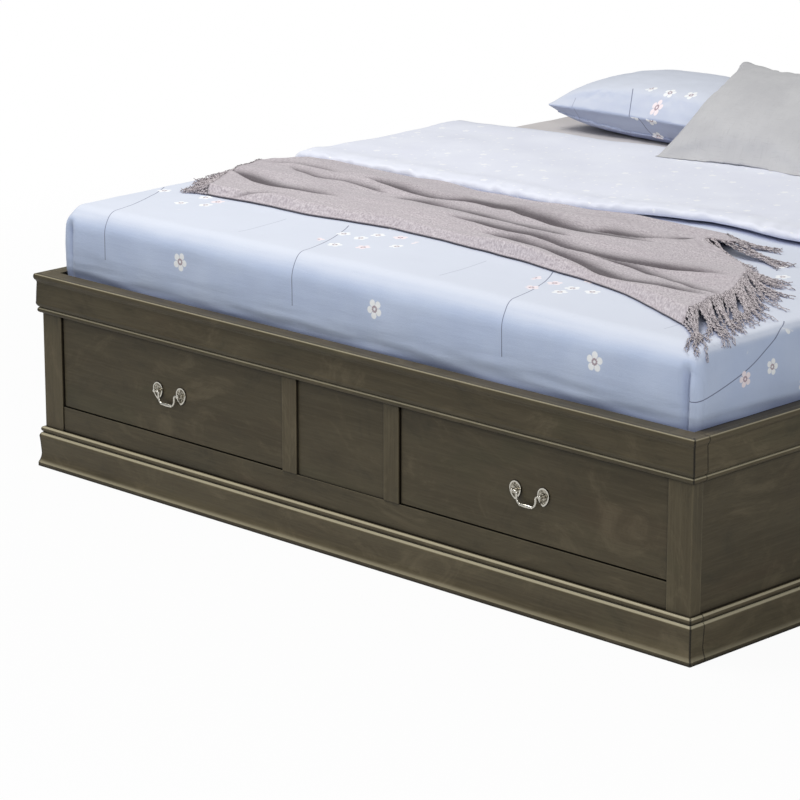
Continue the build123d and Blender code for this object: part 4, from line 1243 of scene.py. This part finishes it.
def add_tassel(yarns, path, turns, phase, thick):
    """Two yarns that wind round one path."""
    steps = len(path) - 1
    for strand in (0, math.pi):
        spline = yarns.splines.new("POLY")
        spline.points.add(steps)
        for step, (point, outward) in enumerate(path):
            ahead = path[min(step + 1, steps)][0] - path[max(step - 1, 0)][0]
            side = ahead.cross(outward).normalized()
            turn = phase + strand + turns * 2 * math.pi * step / steps
            loose = 0.0022 * (1 + 1.2 * (step / steps) ** 3)
            place = point + loose * (math.cos(turn) * side + math.sin(turn) * outward)
            spline.points[step].co = (*place, 1)
            spline.points[step].radius = thick * (1.5 if step == 0 else 1.0 - 0.5 * (step / steps) ** 2)


def fringe(name, run, angles, lengths, count, clumps, chance):
    """The tassels along one end; angles and lengths go from the throw's near to its far corner."""
    yarns = bpy.data.curves.new(name, "CURVE")
    yarns.dimensions = "3D"
    yarns.bevel_depth = 0.0018
    yarns.bevel_resolution = 0
    for index in range(count):
        width = clamp((index + 0.5 + chance.uniform(-0.35, 0.35)) / count, 0.004, 0.996)
        across, along, height = throw_place(run, width)
        clump = (math.floor(width * clumps) + 0.5) / clumps
        angle = math.radians(along_curve(angles, clump))
        length = along_curve(lengths, clump) * chance.uniform(0.8, 1.1)
        tip = Vector(throw_place(run, clump)[:2]) + Vector((math.cos(angle), math.sin(angle))) * length
        reach = tip + Vector((chance.gauss(0, 0.005), chance.gauss(0, 0.005))) - Vector((across, along))
        angle = math.atan2(reach.y, reach.x)
        path = tassel_path(across, along, height, angle, reach.length, chance.gauss(0, 0.3), 14)
        add_tassel(yarns, path, chance.uniform(3.5, 5.0), chance.uniform(0, 6.3), chance.uniform(0.85, 1.15))
    holder = bpy.data.objects.new(name + "_yarns", yarns)
    scene.collection.objects.link(holder)
    mesh = bpy.data.meshes.new_from_object(holder.evaluated_get(bpy.context.evaluated_depsgraph_get()))
    bpy.data.objects.remove(holder)
    piece = bpy.data.objects.new(name, mesh)
    scene.collection.objects.link(piece)
    mesh.shade_smooth()
    mesh.materials.clear()
    mesh.materials.append(YARN)
    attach(piece, "bed_frame")
    print(name, count, "tassels", len(mesh.polygons), "faces")
    return piece


chance = random.Random(7)
right_angles = [(0.0, -40), (0.45, -40), (0.65, -26), (0.8, -8), (1.0, 30)]
right_lengths = [(0.0, 0.20), (0.5, 0.20), (0.7, 0.17), (0.85, 0.14), (1.0, 0.10)]
left_angles = [(0.0, 204), (0.5, 186), (1.0, 172)]
left_lengths = [(0.0, 0.07), (1.0, 0.08)]
fringes = [
    fringe("throw_fringe_right", 1.0, right_angles, right_lengths, 96, 11, chance),
    fringe("throw_fringe_left", 0.0, left_angles, left_lengths, 90, 12, chance),
]

# %% [markdown]
# ## Accent linen
# The square cushion wears a plain pale grey linen. Thick and thin threads run both ways in linen,
# so two stretched noises, one for each way, darken the ground here and there.


# %% Linen of the accent cushion
def accent_linen():
    """Pale grey linen with faint slubs; plain, with no picture."""
    material, tree, shader, cloth, colour = cotton(
        "accent_cotton", paint(186, 186, 190), paint(196, 196, 199), 0.85, 520.0
    )
    slub = stretched(tree, cloth, (30.0, 340.0, 1.0), 3.0, 0.6)
    cross = stretched(tree, cloth, (340.0, 30.0, 1.0), 3.0, 0.6)
    threads = sums(tree, "MAXIMUM", slub, cross)
    colour = mixed(tree, ramped(tree, threads, 0.55, 0.8, 0.0, 0.6), colour, paint(166, 166, 170))
    tree.links.new(colour, shader.inputs["Base Color"])
    return material


ACCENT = accent_linen()
print("linen ready")

# %% [markdown]
# ## Pillows
# A pillow is a case with a filling that presses outwards. Each one starts as a copy of its plain
# packed form, remade as an even skin by a voxel remesh and drawn in a little. The Cloth simulation
# then blows the skin up from inside, which rounds it and gathers its seams. No point may travel
# far, and least of all downwards, so the pillow stays where it lies and keeps its flat underside.


# %% Pillow helpers
seam_reach = 0.009
seam_depth = 0.022
skin_voxel = 0.0065
skin_share = 0.99
filling_pressure = 4.0
filling_frames = 20


def baked(piece):
    """Replaces a piece's mesh by what its modifiers make of it."""
    mesh = bpy.data.meshes.new_from_object(piece.evaluated_get(bpy.context.evaluated_depsgraph_get()))
    piece.modifiers.clear()
    piece.data = mesh


def blown_up(piece, pressure, frames):
    """Lets the Cloth simulation blow up a closed skin and keeps the result."""
    cloth = piece.modifiers.new("cloth", "CLOTH")
    cloth.settings.quality = 5
    cloth.settings.mass = 0.3
    cloth.settings.tension_stiffness = 15
    cloth.settings.compression_stiffness = 15
    cloth.settings.bending_stiffness = 0.2
    cloth.settings.use_pressure = True
    cloth.settings.uniform_pressure_force = pressure
    cloth.settings.effector_weights.gravity = 0
    cloth.point_cache.frame_end = frames
    for frame_number in range(1, frames + 1):
        scene.frame_set(frame_number)
    baked(piece)
    scene.frame_set(1)


def skin_of(name, cad_node, voxel, draw_in):
    """An even skin over a packed form, drawn in towards its middle."""
    piece = bpy.data.objects.new(name, nodes[cad_node].data.copy())
    scene.collection.objects.link(piece)
    remesh = piece.modifiers.new("even_skin", "REMESH")
    remesh.mode = "VOXEL"
    remesh.voxel_size = voxel
    baked(piece)
    low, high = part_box(cad_node)
    middle = (low + high) / 2
    shrink = Matrix.Translation(middle) @ Matrix.Scale(draw_in, 4) @ Matrix.Translation(-middle)
    piece.data.transform(shrink)
    return piece


def sewn(piece, cad_node, turned, ear, droop):
    """Draws a seam out round the middle, pulls the corners out into ears and lets the front droop."""
    low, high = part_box(cad_node)
    middle = (low + high) / 2
    level = turned.inverted()
    flat = [level @ (vert.co - middle) for vert in piece.data.vertices]
    facing = [level @ vert.normal for vert in piece.data.vertices]
    half = Vector(max(abs(place[axis]) for place in flat) for axis in range(3))
    for vert, place, out in zip(piece.data.vertices, flat, facing):
        u, v = place.x / half.x, place.y / half.y
        lip = seam_reach * max(0, 1 - abs(place.z) / seam_depth) ** 2
        crumple = noise.noise(vert.co * 17) * 0.0022 + noise.noise(vert.co * 43) * 0.0008
        shift = Vector((out.x, out.y, 0)) * lip + out * crumple
        shift += Vector((place.x * (v * v - 0.5), place.y * (u * u - 0.5), 0)) * ear
        vert.co += turned @ shift
        vert.co.z = max(low.z, vert.co.z - droop * (1 - smooth(v, -1, -0.2)))


def pillow(name, cad_node, turned, material, slot, travel, ear, droop):
    """A pillow in its case, blown up from its packed form; turned is how the pillow lies."""
    piece = skin_of(name, cad_node, skin_voxel, skin_share)
    start = [vert.co.copy() for vert in piece.data.vertices]
    blown_up(piece, filling_pressure, filling_frames)
    for vert, before in zip(piece.data.vertices, start):
        moved = vert.co - before
        most = travel * (1.0 if moved.z > -0.3 * moved.length else 0.3)
        vert.co = before + moved * min(1.0, most / max(moved.length, 1e-9))
    sewn(piece, cad_node, turned, ear, droop)
    low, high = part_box(cad_node)
    seam_height = (low.z + high.z) / 2
    block = bmesh.new()
    block.from_mesh(piece.data)
    bpy.data.objects.remove(piece)
    layer = block.loops.layers.uv.new(CLOTH_MAP)
    level = turned.inverted()
    for face in block.faces:
        below = face.calc_center_median().z < seam_height and face.normal.z < 0.2
        for loop in face.loops:
            place = level @ loop.vert.co
            if below:
                place.y = 2 * low.y - place.y - (seam_height - place.z) / 2
            loop[layer].uv = place.xy
    made = soft_piece(name, block, material, slot, cad_node)
    finer = made.modifiers.new("finer", "SUBSURF")
    finer.levels = finer.render_levels = 1
    return made


# %% [markdown]
# Two long pillows lie side by side at the head, in cases of the comforter's print, and the square
# linen cushion leans on them.

# %% Pillows
flat_lying = Matrix.Identity(3)
leaning = Matrix.Rotation(math.radians(8), 3, "Z") @ Matrix.Rotation(math.radians(22), 3, "X")
for side in ("left", "right"):
    pillow(
        f"bed_pillow_{side}", f"pillow_{side}", flat_lying, PILLOWCASE_SHADED, "comforter_cotton",
        travel=0.014, ear=0.02, droop=0,
    )
pillow(
    "accent_cushion", "accent_pillow", leaning, ACCENT, "accent_cotton",
    travel=0.012, ear=0.06, droop=0.012,
)
